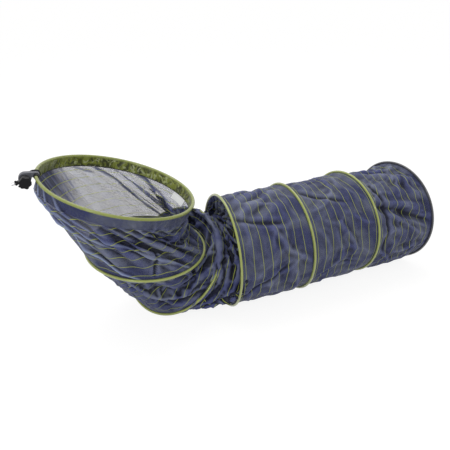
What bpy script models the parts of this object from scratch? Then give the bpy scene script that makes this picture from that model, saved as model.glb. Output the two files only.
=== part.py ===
"""A fishing keepnet laid out on the ground: a net tube held open by sprung wire hoops, with its wide mouth raised.

The hoops are counted from the mouth. Hoops 4 to 6 and the end hoop stand on the ground in a straight row along +X.
The net bends up at hoop 3, and hoop 2 and the mouth lie above it. Lengths are in metres, angles in degrees, +Z is up.
"""
import math

import bmesh
import bpy
from mathutils import Matrix, Vector

# General clearances
CLEARANCE = 0.0003
SEGMENTS = 28

# Hoops 2 to 6 and the end hoop, alike: a sprung wire in a folded tape
HOOP_OUTER_RADIUS = 0.200
WIRE_RADIUS = 0.0018
FERRULE_WALL = 0.0007
FERRULE_LENGTH = 0.024
TAPE_WALL = 0.0013
TAPE_SLOT_ANGLE = 44.0
WIRE_END_GAP = 0.002

# Mouth hoop and its coated band
MOUTH_OUTER_RADIUS = 0.250
MOUTH_ROD_RADIUS = 0.004
BAND_THICKNESS = 0.0013
BAND_DEPTH = 0.031
SEAM_HEIGHT = 0.003
SEAM_THICKNESS = 0.0018

# Net
NET_THICKNESS = 0.0008
NET_LENGTHS = (0.222, 0.292, 0.124, 0.272, 0.278, 0.266)
NET_SPANS = 4
BEND_WRAP_ROWS = 3
LEAST_WRAP = 45.0
WRAP_EASING = 2

# Label, a bare tag sewn below the seam
LABEL_WIDTH = 0.075
LABEL_HEIGHT = 0.025
LABEL_THICKNESS = 0.0008
LABEL_ANGLE = 31.0
LABEL_LEAN = 22.0

# Places of the hoops: turn is where a hoop's mouth side looks, round Z from +X, and lift is how far it looks up
ROW_START = (-0.0879, -0.0540)
BAY_4 = 0.268
BAY_5 = 0.273
BAY_6 = 0.256
HOOP_5_SIDEWAYS = -0.008
TURN_AND_LIFT = {
    "mouth": (333.0, 75.5),
    "ring_2": (268.0, 82.0),
    "ring_3": (202.0, 38.0),
    "ring_4": (170.5, -1.5),
    "ring_5": (175.0, -3.5),
    "ring_6": (181.0, -2.0),
    "end_ring": (185.0, -2.5),
}
# At the bend a hoop's inner side comes this near the plane of the next one, with its centre moved down and sideways
FOLD_GAP = 0.010
HOOP_3_SIDEWAYS = -0.0645
MOUTH_RISE = 0.2140
MOUTH_DOWN = -0.0517
MOUTH_SIDEWAYS = -0.0738

# Tilt block on the mouth hoop, from the hoop's centre line outward
BRACKET_ANGLE = 195.8
SOCKET_LENGTH = 0.044
SOCKET_WALL = 0.0037
ROD_END_GAP = 0.004
ARM_THICKNESS = 0.016
ARM_REACH = 0.030
ARM_DROP = 0.0155
ARM_NECK = 0.0062
ARM_END_RADIUS = 0.0100
HUB_RADIUS = 0.0190
BACKPLATE_THICKNESS = 0.003
BACKPLATE_RIM = 0.003
BACKPLATE_LENGTH = 0.010
SCREW_RADIUS = 0.0015
SCREW_HEAD_RADIUS = 0.0028
SCREW_HEAD_HEIGHT = 0.0016
SCREW_LENGTH = 0.011
SCREW_SPACING = 0.0075
SCREW_REACH = 0.0145
SCREW_RISE = -0.0005
BOLT_RADIUS = 0.004
BOLT_HEAD_RADIUS = 0.0072
BOLT_HEAD_HEIGHT = 0.005
WASHER_RADIUS = 0.0085
WASHER_THICKNESS = 0.0016
GRIP_WASHER_RADIUS = 0.0115
GRIP_WASHER_THICKNESS = 0.0015
BLOCK_RADIUS = 0.0145
BLOCK_THICKNESS = 0.015
BOSS_RADIUS = 0.0062
BOSS_LENGTH = 0.024
STUD_RADIUS = 0.0046
STUD_LENGTH = 0.016
STUD_DEPTH = 0.010
STUD_TILT = 27.0
LOCK_RING_RADIUS = 0.0075
LOCK_RING_HEIGHT = 0.005
KNOB_RADIUS = 0.0190
KNOB_THICKNESS = 0.016
KNOB_LOBES = 6
KNOB_LOBE_DEPTH = 0.0034
INSERT_RADIUS = 0.0065
INSERT_LENGTH = 0.011
PINCH_SCREW_RADIUS = 0.0020
PINCH_SCREW_DEPTH = 0.0065
PINCH_NECK_LENGTH = 0.0065
PINCH_HEAD_RADIUS = 0.0038
PINCH_ANGLE = 58.0

# Sizes that follow from those above
FERRULE_BORE = WIRE_RADIUS + CLEARANCE
FERRULE_RADIUS = FERRULE_BORE + FERRULE_WALL
WIRE_SIDES = 6
TAPE_INNER_POINTS = 6
TAPE_OUTER_POINTS = 7
TAPE_SPAN = math.radians(360.0 - TAPE_SLOT_ANGLE)
TAPE_BORE = (FERRULE_RADIUS + CLEARANCE) / math.cos(TAPE_SPAN / (TAPE_INNER_POINTS - 1) / 2)
TAPE_RADIUS = TAPE_BORE + TAPE_WALL
HOOP_RADIUS = HOOP_OUTER_RADIUS - TAPE_RADIUS
NET_RADIUS = HOOP_RADIUS - TAPE_RADIUS - CLEARANCE - NET_THICKNESS / 2
NET_OFFSET = HOOP_RADIUS - NET_RADIUS
NET_WRAP = NET_OFFSET / math.cos(math.radians(LEAST_WRAP)) * 0.884

BAND_BORE = MOUTH_ROD_RADIUS + CLEARANCE
BAND_RADIUS = BAND_BORE + BAND_THICKNESS
MOUTH_RADIUS = MOUTH_OUTER_RADIUS - BAND_RADIUS
SOCKET_BORE = MOUTH_ROD_RADIUS + CLEARANCE
SOCKET_RADIUS = SOCKET_BORE + SOCKET_WALL
MOUTH_NET_TOP = MOUTH_ROD_RADIUS + 2 * CLEARANCE
NOTCH_DEPTH = ARM_END_RADIUS + BACKPLATE_RIM + CLEARANCE
MOUTH_NET_RADIUS = MOUTH_RADIUS - BAND_BORE + CLEARANCE + NET_THICKNESS / 2

COLOURS = {
    "green_tape": ((0.20, 0.25, 0.03), 0.45, 0.0),
    "black_tape": ((0.02, 0.02, 0.03), 0.60, 0.0),
    "green_band": ((0.22, 0.28, 0.03), 0.35, 0.0),
    "seam_binding": ((0.01, 0.01, 0.02), 0.70, 0.0),
    "navy_net": ((0.03, 0.03, 0.09), 0.80, 0.0),
    "white_label": ((0.80, 0.80, 0.80), 0.60, 0.0),
    "spring_wire": ((0.45, 0.45, 0.46), 0.35, 1.0),
    "ferrule_metal": ((0.60, 0.45, 0.20), 0.40, 1.0),
    "alloy_rod": ((0.60, 0.61, 0.62), 0.35, 1.0),
    "grey_nylon": ((0.09, 0.09, 0.10), 0.55, 0.0),
    "black_nylon": ((0.01, 0.01, 0.01), 0.45, 0.0),
    "grip_rubber": ((0.02, 0.02, 0.02), 0.90, 0.0),
    "screw_steel": ((0.50, 0.50, 0.50), 0.30, 1.0),
    "insert_brass": ((0.70, 0.50, 0.20), 0.30, 1.0),
}


def clear_scene():
    for item in list(bpy.data.objects):
        bpy.data.objects.remove(item, do_unlink=True)


def material(name):
    """The named material, made the first time it is asked for."""
    made = bpy.data.materials.get(name)
    if made is None:
        colour, roughness, metallic = COLOURS[name]
        made = bpy.data.materials.new(name)
        made.use_nodes = True
        shader = made.node_tree.nodes["Principled BSDF"]
        shader.inputs["Base Color"].default_value = (*colour, 1.0)
        shader.inputs["Roughness"].default_value = roughness
        shader.inputs["Metallic"].default_value = metallic
    return made


def finish(name, bm, material_name, place, parent=None, smooth_angle=40.0):
    """Turns a bmesh into a named object at a place, rides it on its parent empty and shades it."""
    bmesh.ops.recalc_face_normals(bm, faces=bm.faces)
    mesh = bpy.data.meshes.new(name)
    bm.to_mesh(mesh)
    bm.free()
    mesh.shade_smooth()
    mesh.set_sharp_from_angle(angle=math.radians(smooth_angle))
    made = bpy.data.objects.new(name, mesh)
    bpy.context.collection.objects.link(made)
    made.data.materials.append(material(material_name))
    attach(made, parent)
    made.matrix_world = place
    bpy.context.view_layer.update()
    return made


def attach(item, parent):
    if parent is not None:
        item.parent = parent
        item.matrix_parent_inverse = parent.matrix_world.inverted()


def pivot(name, place, parent=None):
    """An empty on a joint's axis, which the pieces of one moving body hang from."""
    made = bpy.data.objects.new(name, None)
    bpy.context.collection.objects.link(made)
    attach(made, parent)
    made.matrix_world = place
    bpy.context.view_layer.update()
    return made


def cutter(name, bm, place):
    made = finish(name, bm, "black_nylon", place)
    made.hide_render = True
    made.display_type = "WIRE"
    return made


def cut(target, tool):
    modifier = target.modifiers.new(tool.name, "BOOLEAN")
    modifier.operation = "DIFFERENCE"
    modifier.object = tool


# Frames: a hoop's own X points down its plane, Y across it and Z out of its mouth side
def looking(turn, lift):
    turn, lift = math.radians(turn), math.radians(lift)
    return Vector((math.cos(lift) * math.cos(turn), math.cos(lift) * math.sin(turn), math.sin(lift)))


def frame_from(centre, normal, down):
    across = normal.cross(down)
    turned = Matrix((down, across, normal)).transposed().to_4x4()
    return Matrix.Translation(centre) @ turned


def hoop_frame(centre, body):
    normal = looking(*TURN_AND_LIFT[body])
    down = Vector((0, 0, -1)) + normal * normal.z
    return frame_from(centre, normal, down.normalized())


def facet_share():
    return math.cos(math.pi / SEGMENTS)


def standing_height(body):
    """Height of the centre of a hoop whose tape touches the ground with one flat of its outline."""
    slope = math.radians(TURN_AND_LIFT[body][1])
    highest = 0.0
    for radial, height in tape_profile():
        reach = (HOOP_RADIUS + radial) * facet_share() * math.cos(slope) + height * math.sin(slope)
        highest = max(highest, reach, reach - 2 * height * math.sin(slope))
    return highest


def tape_profile():
    """Section of the folded tape round the wire, as (radial, height), with its slot on the net's side."""
    points = []
    for count, radius, way in ((TAPE_OUTER_POINTS, TAPE_RADIUS, 1), (TAPE_INNER_POINTS, TAPE_BORE, -1)):
        for step in range(count):
            angle = way * TAPE_SPAN * (step / (count - 1) - 0.5)
            points.append((radius * math.cos(angle), radius * math.sin(angle)))
    return points


def plane_share(above, below):
    """Sine of the angle between two hoops."""
    return looking(*TURN_AND_LIFT[above]).cross(looking(*TURN_AND_LIFT[below])).length


def lay_out():
    """Frames of the hoops, from hoop 4 both ways."""
    frames = {}
    x, y = ROW_START
    frames["ring_4"] = hoop_frame(Vector((x, y, standing_height("ring_4"))), "ring_4")
    x += BAY_4
    frames["ring_5"] = hoop_frame(Vector((x, y + HOOP_5_SIDEWAYS, standing_height("ring_5"))), "ring_5")
    x += BAY_5
    frames["ring_6"] = hoop_frame(Vector((x, y, standing_height("ring_6"))), "ring_6")
    x += BAY_6
    frames["end_ring"] = hoop_frame(Vector((x, y, standing_height("end_ring"))), "end_ring")

    base = frames["ring_4"]
    rise = FOLD_GAP + HOOP_OUTER_RADIUS * plane_share("ring_3", "ring_4")
    centre = base @ Vector((0, HOOP_3_SIDEWAYS, rise))
    normal = base.col[2].to_3d()
    across = base.col[1].to_3d()
    height = standing_height("ring_3")
    # hoop 3 keeps its distance from hoop 4's plane and comes down to the ground inside that plane
    down = normal.cross(across).normalized()
    centre += down * ((height - centre.z) / down.z)
    frames["ring_3"] = hoop_frame(centre, "ring_3")

    base = frames["ring_3"]
    rise = FOLD_GAP + HOOP_OUTER_RADIUS * plane_share("ring_2", "ring_3")
    frames["ring_2"] = hoop_frame(base @ Vector((0, 0, rise)), "ring_2")

    base = frames["ring_2"]
    frames["mouth"] = hoop_frame(base @ Vector((MOUTH_DOWN, MOUTH_SIDEWAYS, MOUTH_RISE)), "mouth")
    return frames


# Swept rings: a section of (radial, height) points carried round stations of (angle, share of the radius)
def round_stations(phase=0.0):
    step = 2 * math.pi / SEGMENTS
    return [(phase + (k + 0.5) * step, 1.0) for k in range(SEGMENTS)]


def open_stations(phase, radius, gap):
    """Stations of a ring that is cut open, by a gap, in the middle of the flat at the phase angle."""
    half = math.atan2(gap / 2, radius * facet_share())
    share = facet_share() / math.cos(half)
    inner = round_stations(phase)
    return [(phase + half, share), *inner, (phase + 2 * math.pi - half, share)]


def arc_stations(start, end, phase):
    """Stations along part of the many-sided ring whose flat's middle lies at the phase angle."""
    step = 2 * math.pi / SEGMENTS
    corners = [phase + (k + 0.5) * step for k in range(-SEGMENTS, SEGMENTS)]
    stations = []
    for angle in (start, *[corner for corner in corners if start < corner < end], end):
        off_middle = (angle - phase + step / 2) % step - step / 2
        stations.append((angle, facet_share() / math.cos(off_middle)))
    return stations


def swept_ring(profile, radius, stations, closed):
    bm = bmesh.new()
    loops = []
    for angle, share in stations:
        loop = []
        for radial, height in profile:
            reach = (radius + radial) * share
            loop.append(bm.verts.new((reach * math.cos(angle), reach * math.sin(angle), height)))
        loops.append(loop)
    join_loops(bm, loops, closed)
    if not closed:
        bm.faces.new(loops[0])
        bm.faces.new(reversed(loops[-1]))
    return bm


def join_loops(bm, loops, closed):
    count = len(loops[0])
    pairs = list(zip(loops, loops[1:]))
    if closed:
        pairs.append((loops[-1], loops[0]))
    for first, second in pairs:
        for k in range(count):
            after = (k + 1) % count
            bm.faces.new((first[k], first[after], second[after], second[k]))


def polygon(radius, sides, turn=0.0):
    step = 2 * math.pi / sides
    return [(radius * math.cos(turn + k * step), radius * math.sin(turn + k * step)) for k in range(sides)]


def bored_tube(outer, inner, start, end):
    """A tube along local Y from start to end, with alike outlines of (radial, height) outside and inside."""
    bm = bmesh.new()
    loops = []
    for outline, y in ((outer, start), (outer, end), (inner, end), (inner, start)):
        loops.append([bm.verts.new((radial, y, height)) for radial, height in outline])
    join_loops(bm, loops, True)
    return bm


def turned(profile, sides):
    """A solid turned about local Z from (radius, height) points, from one end on the axis to the other."""
    bm = bmesh.new()
    edge = [bm.verts.new((radius, 0, height)) for radius, height in profile]
    lines = [bm.edges.new(pair) for pair in zip(edge, edge[1:])]
    bmesh.ops.spin(bm, geom=edge + lines, cent=(0, 0, 0), axis=(0, 0, 1), angle=2 * math.pi, steps=sides,
                   use_merge=True)
    bmesh.ops.remove_doubles(bm, verts=bm.verts, dist=1e-6)
    return bm


def disc_with_bore(radius, bore, start, end, sides=24):
    """A washer about local Z."""
    bm = bmesh.new()
    loops = []
    for reach, height in ((radius, start), (radius, end), (bore, end), (bore, start)):
        loops.append([bm.verts.new((x, y, height)) for x, y in polygon(reach, sides)])
    join_loops(bm, loops, True)
    return bm


def extruded(outline, start, end):
    """A plate about local Z from an outline in X and Y."""
    bm = bmesh.new()
    face = bm.faces.new([bm.verts.new((x, y, start)) for x, y in outline])
    pushed = bmesh.ops.extrude_face_region(bm, geom=[face])
    moved = [item for item in pushed["geom"] if isinstance(item, bmesh.types.BMVert)]
    bmesh.ops.translate(bm, verts=moved, vec=(0, 0, end - start))
    return bm


# Hoops 2 to 6 and the end hoop
def sprung_hoop(body, frame, tape_material, joint_flat, parent):
    """One hoop: the wire, the ferrule that joins its ends, and the folded tape round them."""
    phase = 2 * math.pi * joint_flat / SEGMENTS
    wire = polygon(WIRE_RADIUS, WIRE_SIDES)
    bm = swept_ring(wire, HOOP_RADIUS, open_stations(phase, HOOP_RADIUS, WIRE_END_GAP), False)
    finish(f"{body}_wire", bm, "spring_wire", frame, parent)

    outside = polygon(FERRULE_RADIUS, WIRE_SIDES)
    inside = polygon(FERRULE_BORE, WIRE_SIDES)
    bm = bored_tube(outside, inside, -FERRULE_LENGTH / 2, FERRULE_LENGTH / 2)
    at_joint = Matrix.Rotation(phase, 4, "Z") @ Matrix.Translation((HOOP_RADIUS * facet_share(), 0, 0))
    finish(f"{body}_ferrule", bm, "ferrule_metal", frame @ at_joint, parent)

    bm = swept_ring(tape_profile(), HOOP_RADIUS, round_stations(), True)
    finish(f"{body}_tape", bm, tape_material, frame, parent)


# Mouth
def band_profile():
    """Section of the coated band: over the rod like a hook, then down inside the net to the seam."""
    points = []
    wrap = (-15.0, 20.0, 60.0, 100.0, 140.0, 180.0)
    for angle in wrap:
        a = math.radians(angle)
        points.append((BAND_RADIUS * math.cos(a), BAND_RADIUS * math.sin(a)))
    points.append((-BAND_RADIUS, -BAND_DEPTH))
    points.append((-BAND_BORE, -BAND_DEPTH))
    for angle in reversed(wrap):
        a = math.radians(angle)
        bore = BAND_BORE / math.cos(math.radians(20.0)) if angle not in (180.0,) else BAND_BORE
        points.append((bore * math.cos(a), bore * math.sin(a)))
    return points


def mouth_pieces(frame, parent):
    phase = math.radians(BRACKET_ANGLE)
    rod = polygon(MOUTH_ROD_RADIUS, 8, math.pi / 8)
    bm = swept_ring(rod, MOUTH_RADIUS, open_stations(phase, MOUTH_RADIUS, ROD_END_GAP), False)
    finish("mouth_hoop", bm, "alloy_rod", frame, parent)

    bm = swept_ring(band_profile(), MOUTH_RADIUS, round_stations(phase), True)
    band = finish("mouth_band", bm, "green_band", frame, parent)
    notch = SOCKET_LENGTH + 2 * CLEARANCE
    bm = bmesh.new()
    bmesh.ops.create_cube(bm, size=1.0)
    bmesh.ops.scale(bm, verts=bm.verts, vec=(3 * NOTCH_DEPTH, notch, 2 * NOTCH_DEPTH))
    notch_cutter = cutter("band_notch", bm, bracket_place(frame))
    cut(band, notch_cutter)

    top = -BAND_DEPTH - CLEARANCE
    seam = [
        (-BAND_BORE, top),
        (-BAND_BORE - SEAM_THICKNESS, top),
        (-BAND_BORE - SEAM_THICKNESS, top - SEAM_HEIGHT),
        (-BAND_BORE, top - SEAM_HEIGHT),
    ]
    bm = swept_ring(seam, MOUTH_RADIUS, round_stations(phase), True)
    finish("mouth_seam", bm, "seam_binding", frame, parent)

    hung = top - SEAM_HEIGHT - CLEARANCE
    lean = LABEL_HEIGHT * math.sin(math.radians(LABEL_LEAN))
    foot = hung - LABEL_HEIGHT * math.cos(math.radians(LABEL_LEAN))
    outer = -BAND_BORE - CLEARANCE
    inner = outer - LABEL_THICKNESS
    label = [(outer, hung), (inner, hung), (inner - lean, foot), (outer - lean, foot)]
    half = LABEL_WIDTH / 2 / (MOUTH_RADIUS - BAND_BORE)
    middle = math.radians(LABEL_ANGLE)
    bm = swept_ring(label, MOUTH_RADIUS, arc_stations(middle - half, middle + half, phase), False)
    finish("label_tag", bm, "white_label", frame, parent)
    return notch_cutter


def bracket_place(frame):
    """Where the tilt block sits on the mouth hoop: X outward, Y along the hoop, Z up out of the mouth."""
    turn = Matrix.Rotation(math.radians(BRACKET_ANGLE), 4, "Z")
    return frame @ turn @ Matrix.Translation((MOUTH_RADIUS * facet_share(), 0, 0))


def hub_place(frame):
    """The tilt block's pivot: X outward, Y down past the mouth and Z along the pivot, towards the knob."""
    swapped = Matrix(((1, 0, 0, 0), (0, 0, 1, 0), (0, -1, 0, 0), (0, 0, 0, 1)))
    return bracket_place(frame) @ Matrix.Translation((ARM_REACH, 0, -ARM_DROP)) @ swapped


# Net panels, one to each bay
def loop_on(frame, radius, height, phase):
    step = 2 * math.pi / SEGMENTS
    return [frame @ Vector((radius * math.cos(phase + (k + 0.5) * step),
                            radius * math.sin(phase + (k + 0.5) * step), height)) for k in range(SEGMENTS)]


def matched(upper, lower):
    """The lower loop, started at the point that lines it up best with the upper one."""
    def misfit(shift):
        return sum((a - lower[(k + shift) % SEGMENTS]).length_squared for k, a in enumerate(upper))
    best = min(range(SEGMENTS), key=misfit)
    return lower[best:] + lower[:best]


def hem_rows(frame, side, rims, goals, count):
    """Rows of net from a hoop's inner side round its tape, as far as the line from each rim point to its goal needs."""
    axis = frame.col[2].to_3d() * side
    outward = [(rim - frame.translation).normalized() for rim in rims]
    turns = []
    for rim, goal, radial in zip(rims, goals, outward):
        line = goal - rim
        turns.append(max(math.atan2(line.dot(radial), line.dot(axis)), math.radians(LEAST_WRAP)))
    for _ in range(WRAP_EASING):
        turns = [max(turn, (turns[k - 1] + turns[(k + 1) % SEGMENTS]) / 2) for k, turn in enumerate(turns)]
    rows = [[] for _ in range(count + 1)]
    for rim, radial, turn in zip(rims, outward, turns):
        rows[0].append(rim - radial * NET_OFFSET + axis * CLEARANCE / 2)
        for j in range(1, count + 1):
            angle = turn * j / count
            rows[j].append(rim + (axis * math.sin(angle) - radial * math.cos(angle)) * NET_WRAP)
    return rows


def hung_rows(upper, lower, upper_frame, lower_frame, length):
    """Rows between two rims, let down and inward by the slack of a net longer than the way between them."""
    rows = []
    for j in range(1, NET_SPANS):
        share = j / NET_SPANS
        middle = upper_frame.translation.lerp(lower_frame.translation, share)
        row = []
        for a, b in zip(upper, lower):
            way = (b - a).length
            slack = math.sqrt(max(0.375 * way * (length - way), 0.0))
            point = a.lerp(b, share)
            out = (point - middle).normalized()
            fall = (Vector((0, 0, -1)) - out).normalized() * (1.0 + out.z) / 2
            row.append(point + fall * slack * 4 * share * (1 - share))
        rows.append(row)
    return rows


def net_corners(j, k):
    """The two triangles of a bay's grid that hang below point k of row j, as (row, point) corners."""
    after = (k + 1) % SEGMENTS
    return ((j, k), (j, after), (j + 1, after)), ((j, k), (j + 1, after), (j + 1, k))


def facing(rows, upper_frame, lower_frame):
    """Outward directions of a bay's points: straight out from a hoop at both edges, square to the net between them."""
    outward = [[Vector() for _ in row] for row in rows]
    for j in range(len(rows) - 1):
        for k in range(SEGMENTS):
            for corners in net_corners(j, k):
                points = [rows[row][at] for row, at in corners]
                for turn, (row, at) in enumerate(corners):
                    here, after, before = points[turn], points[turn - 2], points[turn - 1]
                    square = (before - here).cross(after - here).normalized()
                    outward[row][at] += square * (after - here).angle(before - here)
    for j, frame in ((0, upper_frame), (-1, lower_frame)):
        axis = frame.col[2].to_3d()
        for k, point in enumerate(rows[j]):
            radial = point - frame.translation
            outward[j][k] = radial - axis * radial.dot(axis)
    return [[direction.normalized() for direction in line] for line in outward]


def net_panel(name, rows, upper_frame, lower_frame, parent):
    """A thin closed tube of net: the rows moved half the thickness out and in, and joined at both edges."""
    outward = facing(rows, upper_frame, lower_frame)
    bm = bmesh.new()
    walls = []
    for way in (1, -1):
        shift = way * NET_THICKNESS / 2
        walls.append([[bm.verts.new(p + n * shift) for p, n in zip(*pair)] for pair in zip(rows, outward)])
    outer, inner = walls
    for wall in walls:
        for j in range(len(rows) - 1):
            for k in range(SEGMENTS):
                for corners in net_corners(j, k):
                    bm.faces.new([wall[row][at] for row, at in corners])
    for j in (0, -1):
        for k in range(SEGMENTS):
            after = (k + 1) % SEGMENTS
            bm.faces.new((outer[j][k], outer[j][after], inner[j][after], inner[j][k]))
    return finish(name, bm, "navy_net", Matrix.Identity(4), parent, smooth_angle=60.0)


def nets(frames, parents, notch):
    upper_frame, lower_frame = frames["mouth"], frames["ring_2"]
    phase = math.radians(BRACKET_ANGLE)
    hem = BAND_DEPTH + CLEARANCE + SEAM_HEIGHT + CLEARANCE
    upper = [loop_on(upper_frame, MOUTH_NET_RADIUS, -depth, phase) for depth in (MOUTH_NET_TOP, hem)]
    rims = matched(upper[1], loop_on(lower_frame, HOOP_RADIUS, 0.0, 0.0))
    between = hung_rows(upper[1], rims, upper_frame, lower_frame, NET_LENGTHS[0])
    lower = hem_rows(lower_frame, 1, rims, between[-1], 1)
    panel = net_panel("net_1", upper + between + lower[::-1], upper_frame, lower_frame, parents["ring_2"])
    cut(panel, notch)
    chain = ("ring_2", "ring_3", "ring_4", "ring_5", "ring_6", "end_ring")
    owners = ("ring_3", "ring_4", "ring_4", "ring_5", "ring_6")
    for number, (a, b, owner) in enumerate(zip(chain, chain[1:], owners), start=2):
        count = BEND_WRAP_ROWS if number < 4 else 1
        first = loop_on(frames[a], HOOP_RADIUS, 0.0, 0.0)
        second = matched(first, loop_on(frames[b], HOOP_RADIUS, 0.0, 0.0))
        between = hung_rows(first, second, frames[a], frames[b], NET_LENGTHS[number - 1])
        upper = hem_rows(frames[a], -1, first, between[0], count)
        lower = hem_rows(frames[b], 1, second, between[-1], count)
        net_panel(f"net_{number}", upper + between + lower[::-1], frames[a], frames[b], parents[owner])

    outline = [((NET_RADIUS + NET_THICKNESS / 2) * math.cos(a), (NET_RADIUS + NET_THICKNESS / 2) * math.sin(a))
               for a, share in round_stations()]
    bm = extruded(outline, -CLEARANCE / 2 - NET_THICKNESS, -CLEARANCE / 2)
    finish("end_net", bm, "navy_net", frames["end_ring"], parents["end_ring"])


# Tilt block
def bar_outline(first_radius, second, second_radius, neck=None, steps=9):
    """Outline of a bar with a round end about the origin and one about a second point, waisted below at the neck."""
    lean = math.atan2(second[1], second[0])
    spread = math.acos((first_radius - second_radius) / math.hypot(*second))
    near, far = lean + spread, lean + spread
    if neck is not None:
        near, far = math.radians(110.0), math.radians(150.0)
    points = []
    for k in range(steps):
        a = lean - spread + 2 * math.pi + (near - lean + spread - 2 * math.pi) * k / (steps - 1)
        points.append((first_radius * math.cos(a), first_radius * math.sin(a)))
    if neck is not None:
        points.append(neck)
    for k in range(2 * steps):
        a = far + (lean - spread - far) * k / (2 * steps - 1)
        points.append((second[0] + second_radius * math.cos(a), second[1] + second_radius * math.sin(a)))
    return points


def rod_cutter(name, radius, start, end, place, sides=24):
    bm = disc_solid(radius, start, end, sides)
    return cutter(name, bm, place)


def disc_solid(radius, start, end, sides=24, turn=0.0):
    return extruded(polygon(radius, sides, turn), start, end)


def tilt_block(frame, parents):
    """The bracket on the mouth hoop, and the block that tilts on it. In its own places Z runs along the pivot."""
    mouth = parents["mouth"]
    place = bracket_place(frame)
    outside = polygon(SOCKET_RADIUS, 8, math.pi / 8)
    inside = polygon(SOCKET_BORE, 8, math.pi / 8)
    finish("hoop_socket", bored_tube(outside, inside, -SOCKET_LENGTH / 2, SOCKET_LENGTH / 2), "black_nylon", place,
           mouth)

    pin = hub_place(frame)
    hub = (ARM_REACH, ARM_DROP)
    across = pin @ Matrix.Translation((-hub[0], -hub[1], 0))
    half = ARM_THICKNESS / 2
    bolt_bore = BOLT_RADIUS + CLEARANCE

    outline = bar_outline(ARM_END_RADIUS, hub, HUB_RADIUS, (hub[0] - HUB_RADIUS, ARM_NECK))
    arm = finish("tilt_arm", extruded(outline, -half, half), "grey_nylon", across, mouth)
    eye = disc_solid(SOCKET_RADIUS + CLEARANCE, -2 * half, 2 * half, 8, math.pi / 8)
    cut(arm, cutter("arm_eye", eye, across))
    cut(arm, rod_cutter("arm_bolt_hole", bolt_bore, -2 * half, 2 * half, pin))

    back = -half - CLEARANCE
    plate_radius = ARM_END_RADIUS + BACKPLATE_RIM
    outline = bar_outline(plate_radius, (BACKPLATE_LENGTH, 0), plate_radius - BACKPLATE_RIM)
    plate = finish("arm_backplate", extruded(outline, back - BACKPLATE_THICKNESS, back), "black_nylon", across, mouth)
    eye = disc_solid(SOCKET_RADIUS + CLEARANCE, back - 2 * BACKPLATE_THICKNESS, back + BACKPLATE_THICKNESS, 8,
                     math.pi / 8)
    cut(plate, cutter("backplate_eye", eye, across))

    head_face = back - BACKPLATE_THICKNESS - CLEARANCE
    profile = [(0, head_face - SCREW_HEAD_HEIGHT), (SCREW_HEAD_RADIUS, head_face - SCREW_HEAD_HEIGHT),
               (SCREW_HEAD_RADIUS, head_face), (SCREW_RADIUS, head_face), (SCREW_RADIUS, head_face + SCREW_LENGTH),
               (0, head_face + SCREW_LENGTH)]
    for name, side in (("upper", 1), ("lower", -1)):
        at = across @ Matrix.Translation((SCREW_REACH, -SCREW_RISE - side * SCREW_SPACING / 2, 0))
        finish(f"{name}_arm_screw", turned(profile, 10), "screw_steel", at, mouth)
        hole = rod_cutter(f"{name}_screw_hole", SCREW_RADIUS + CLEARANCE, head_face - CLEARANCE,
                          head_face + SCREW_LENGTH + CLEARANCE, at, 10)
        cut(arm, hole)
        cut(plate, hole)

    # the pivot's stack, from the bolt's head at the back to the knob in front
    washer_back = -half - CLEARANCE - WASHER_THICKNESS
    bm = disc_with_bore(WASHER_RADIUS, bolt_bore, washer_back, -half - CLEARANCE)
    finish("bolt_washer", bm, "screw_steel", pin, mouth)
    grip = half + CLEARANCE
    bm = disc_with_bore(GRIP_WASHER_RADIUS, bolt_bore, grip, grip + GRIP_WASHER_THICKNESS)
    finish("grip_washer", bm, "grip_rubber", pin, mouth)
    block_start = grip + GRIP_WASHER_THICKNESS + CLEARANCE
    block_end = block_start + BLOCK_THICKNESS
    washer_start = block_end + CLEARANCE
    washer_end = washer_start + WASHER_THICKNESS
    knob_start = washer_end + CLEARANCE
    insert_end = knob_start + CLEARANCE + INSERT_LENGTH

    head = washer_back - CLEARANCE
    bolt_end = insert_end - CLEARANCE
    shank = disc_solid(BOLT_RADIUS, head - BOLT_HEAD_HEIGHT / 2, bolt_end, 16)
    hexagon = disc_solid(BOLT_HEAD_RADIUS, head - BOLT_HEAD_HEIGHT, head, 6)
    bolt = finish("pivot_bolt", hexagon, "screw_steel", pin, mouth)
    core = cutter("bolt_shank", shank, pin)
    modifier = bolt.modifiers.new("shank", "BOOLEAN")
    modifier.operation = "UNION"
    modifier.object = core

    # the block that tilts, its boss and stud pointing outward and down
    tilting = parents["stud_block"]
    tilt = math.radians(STUD_TILT)
    toward = pin @ Matrix.Rotation(tilt, 4, "Z")
    centre_depth = block_start + BLOCK_THICKNESS / 2
    boss_place = toward @ Matrix.Translation((0, 0, centre_depth)) @ Matrix.Rotation(math.pi / 2, 4, "Y")
    block = finish("stud_block", disc_solid(BLOCK_RADIUS, block_start, block_end, 28), "black_nylon", pin, tilting)
    boss = cutter("block_boss", disc_solid(BOSS_RADIUS, 0, BOSS_LENGTH, 20), boss_place)
    modifier = block.modifiers.new("boss", "BOOLEAN")
    modifier.operation = "UNION"
    modifier.object = boss
    cut(block, rod_cutter("block_bolt_hole", bolt_bore, block_start - half, block_end + half, pin))
    stud_start = BOSS_LENGTH - STUD_DEPTH
    cut(block, rod_cutter("block_stud_hole", STUD_RADIUS + CLEARANCE, stud_start - CLEARANCE,
                          BOSS_LENGTH + STUD_LENGTH, boss_place, 20))
    bm = disc_solid(STUD_RADIUS, stud_start, BOSS_LENGTH + STUD_LENGTH, 20)
    finish("stud", bm, "screw_steel", boss_place, tilting)
    ring_start = BOSS_LENGTH + CLEARANCE
    bm = disc_with_bore(LOCK_RING_RADIUS, STUD_RADIUS + CLEARANCE, ring_start, ring_start + LOCK_RING_HEIGHT, 20)
    finish("lock_ring", bm, "black_nylon", boss_place, parents["lock_ring"])

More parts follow.
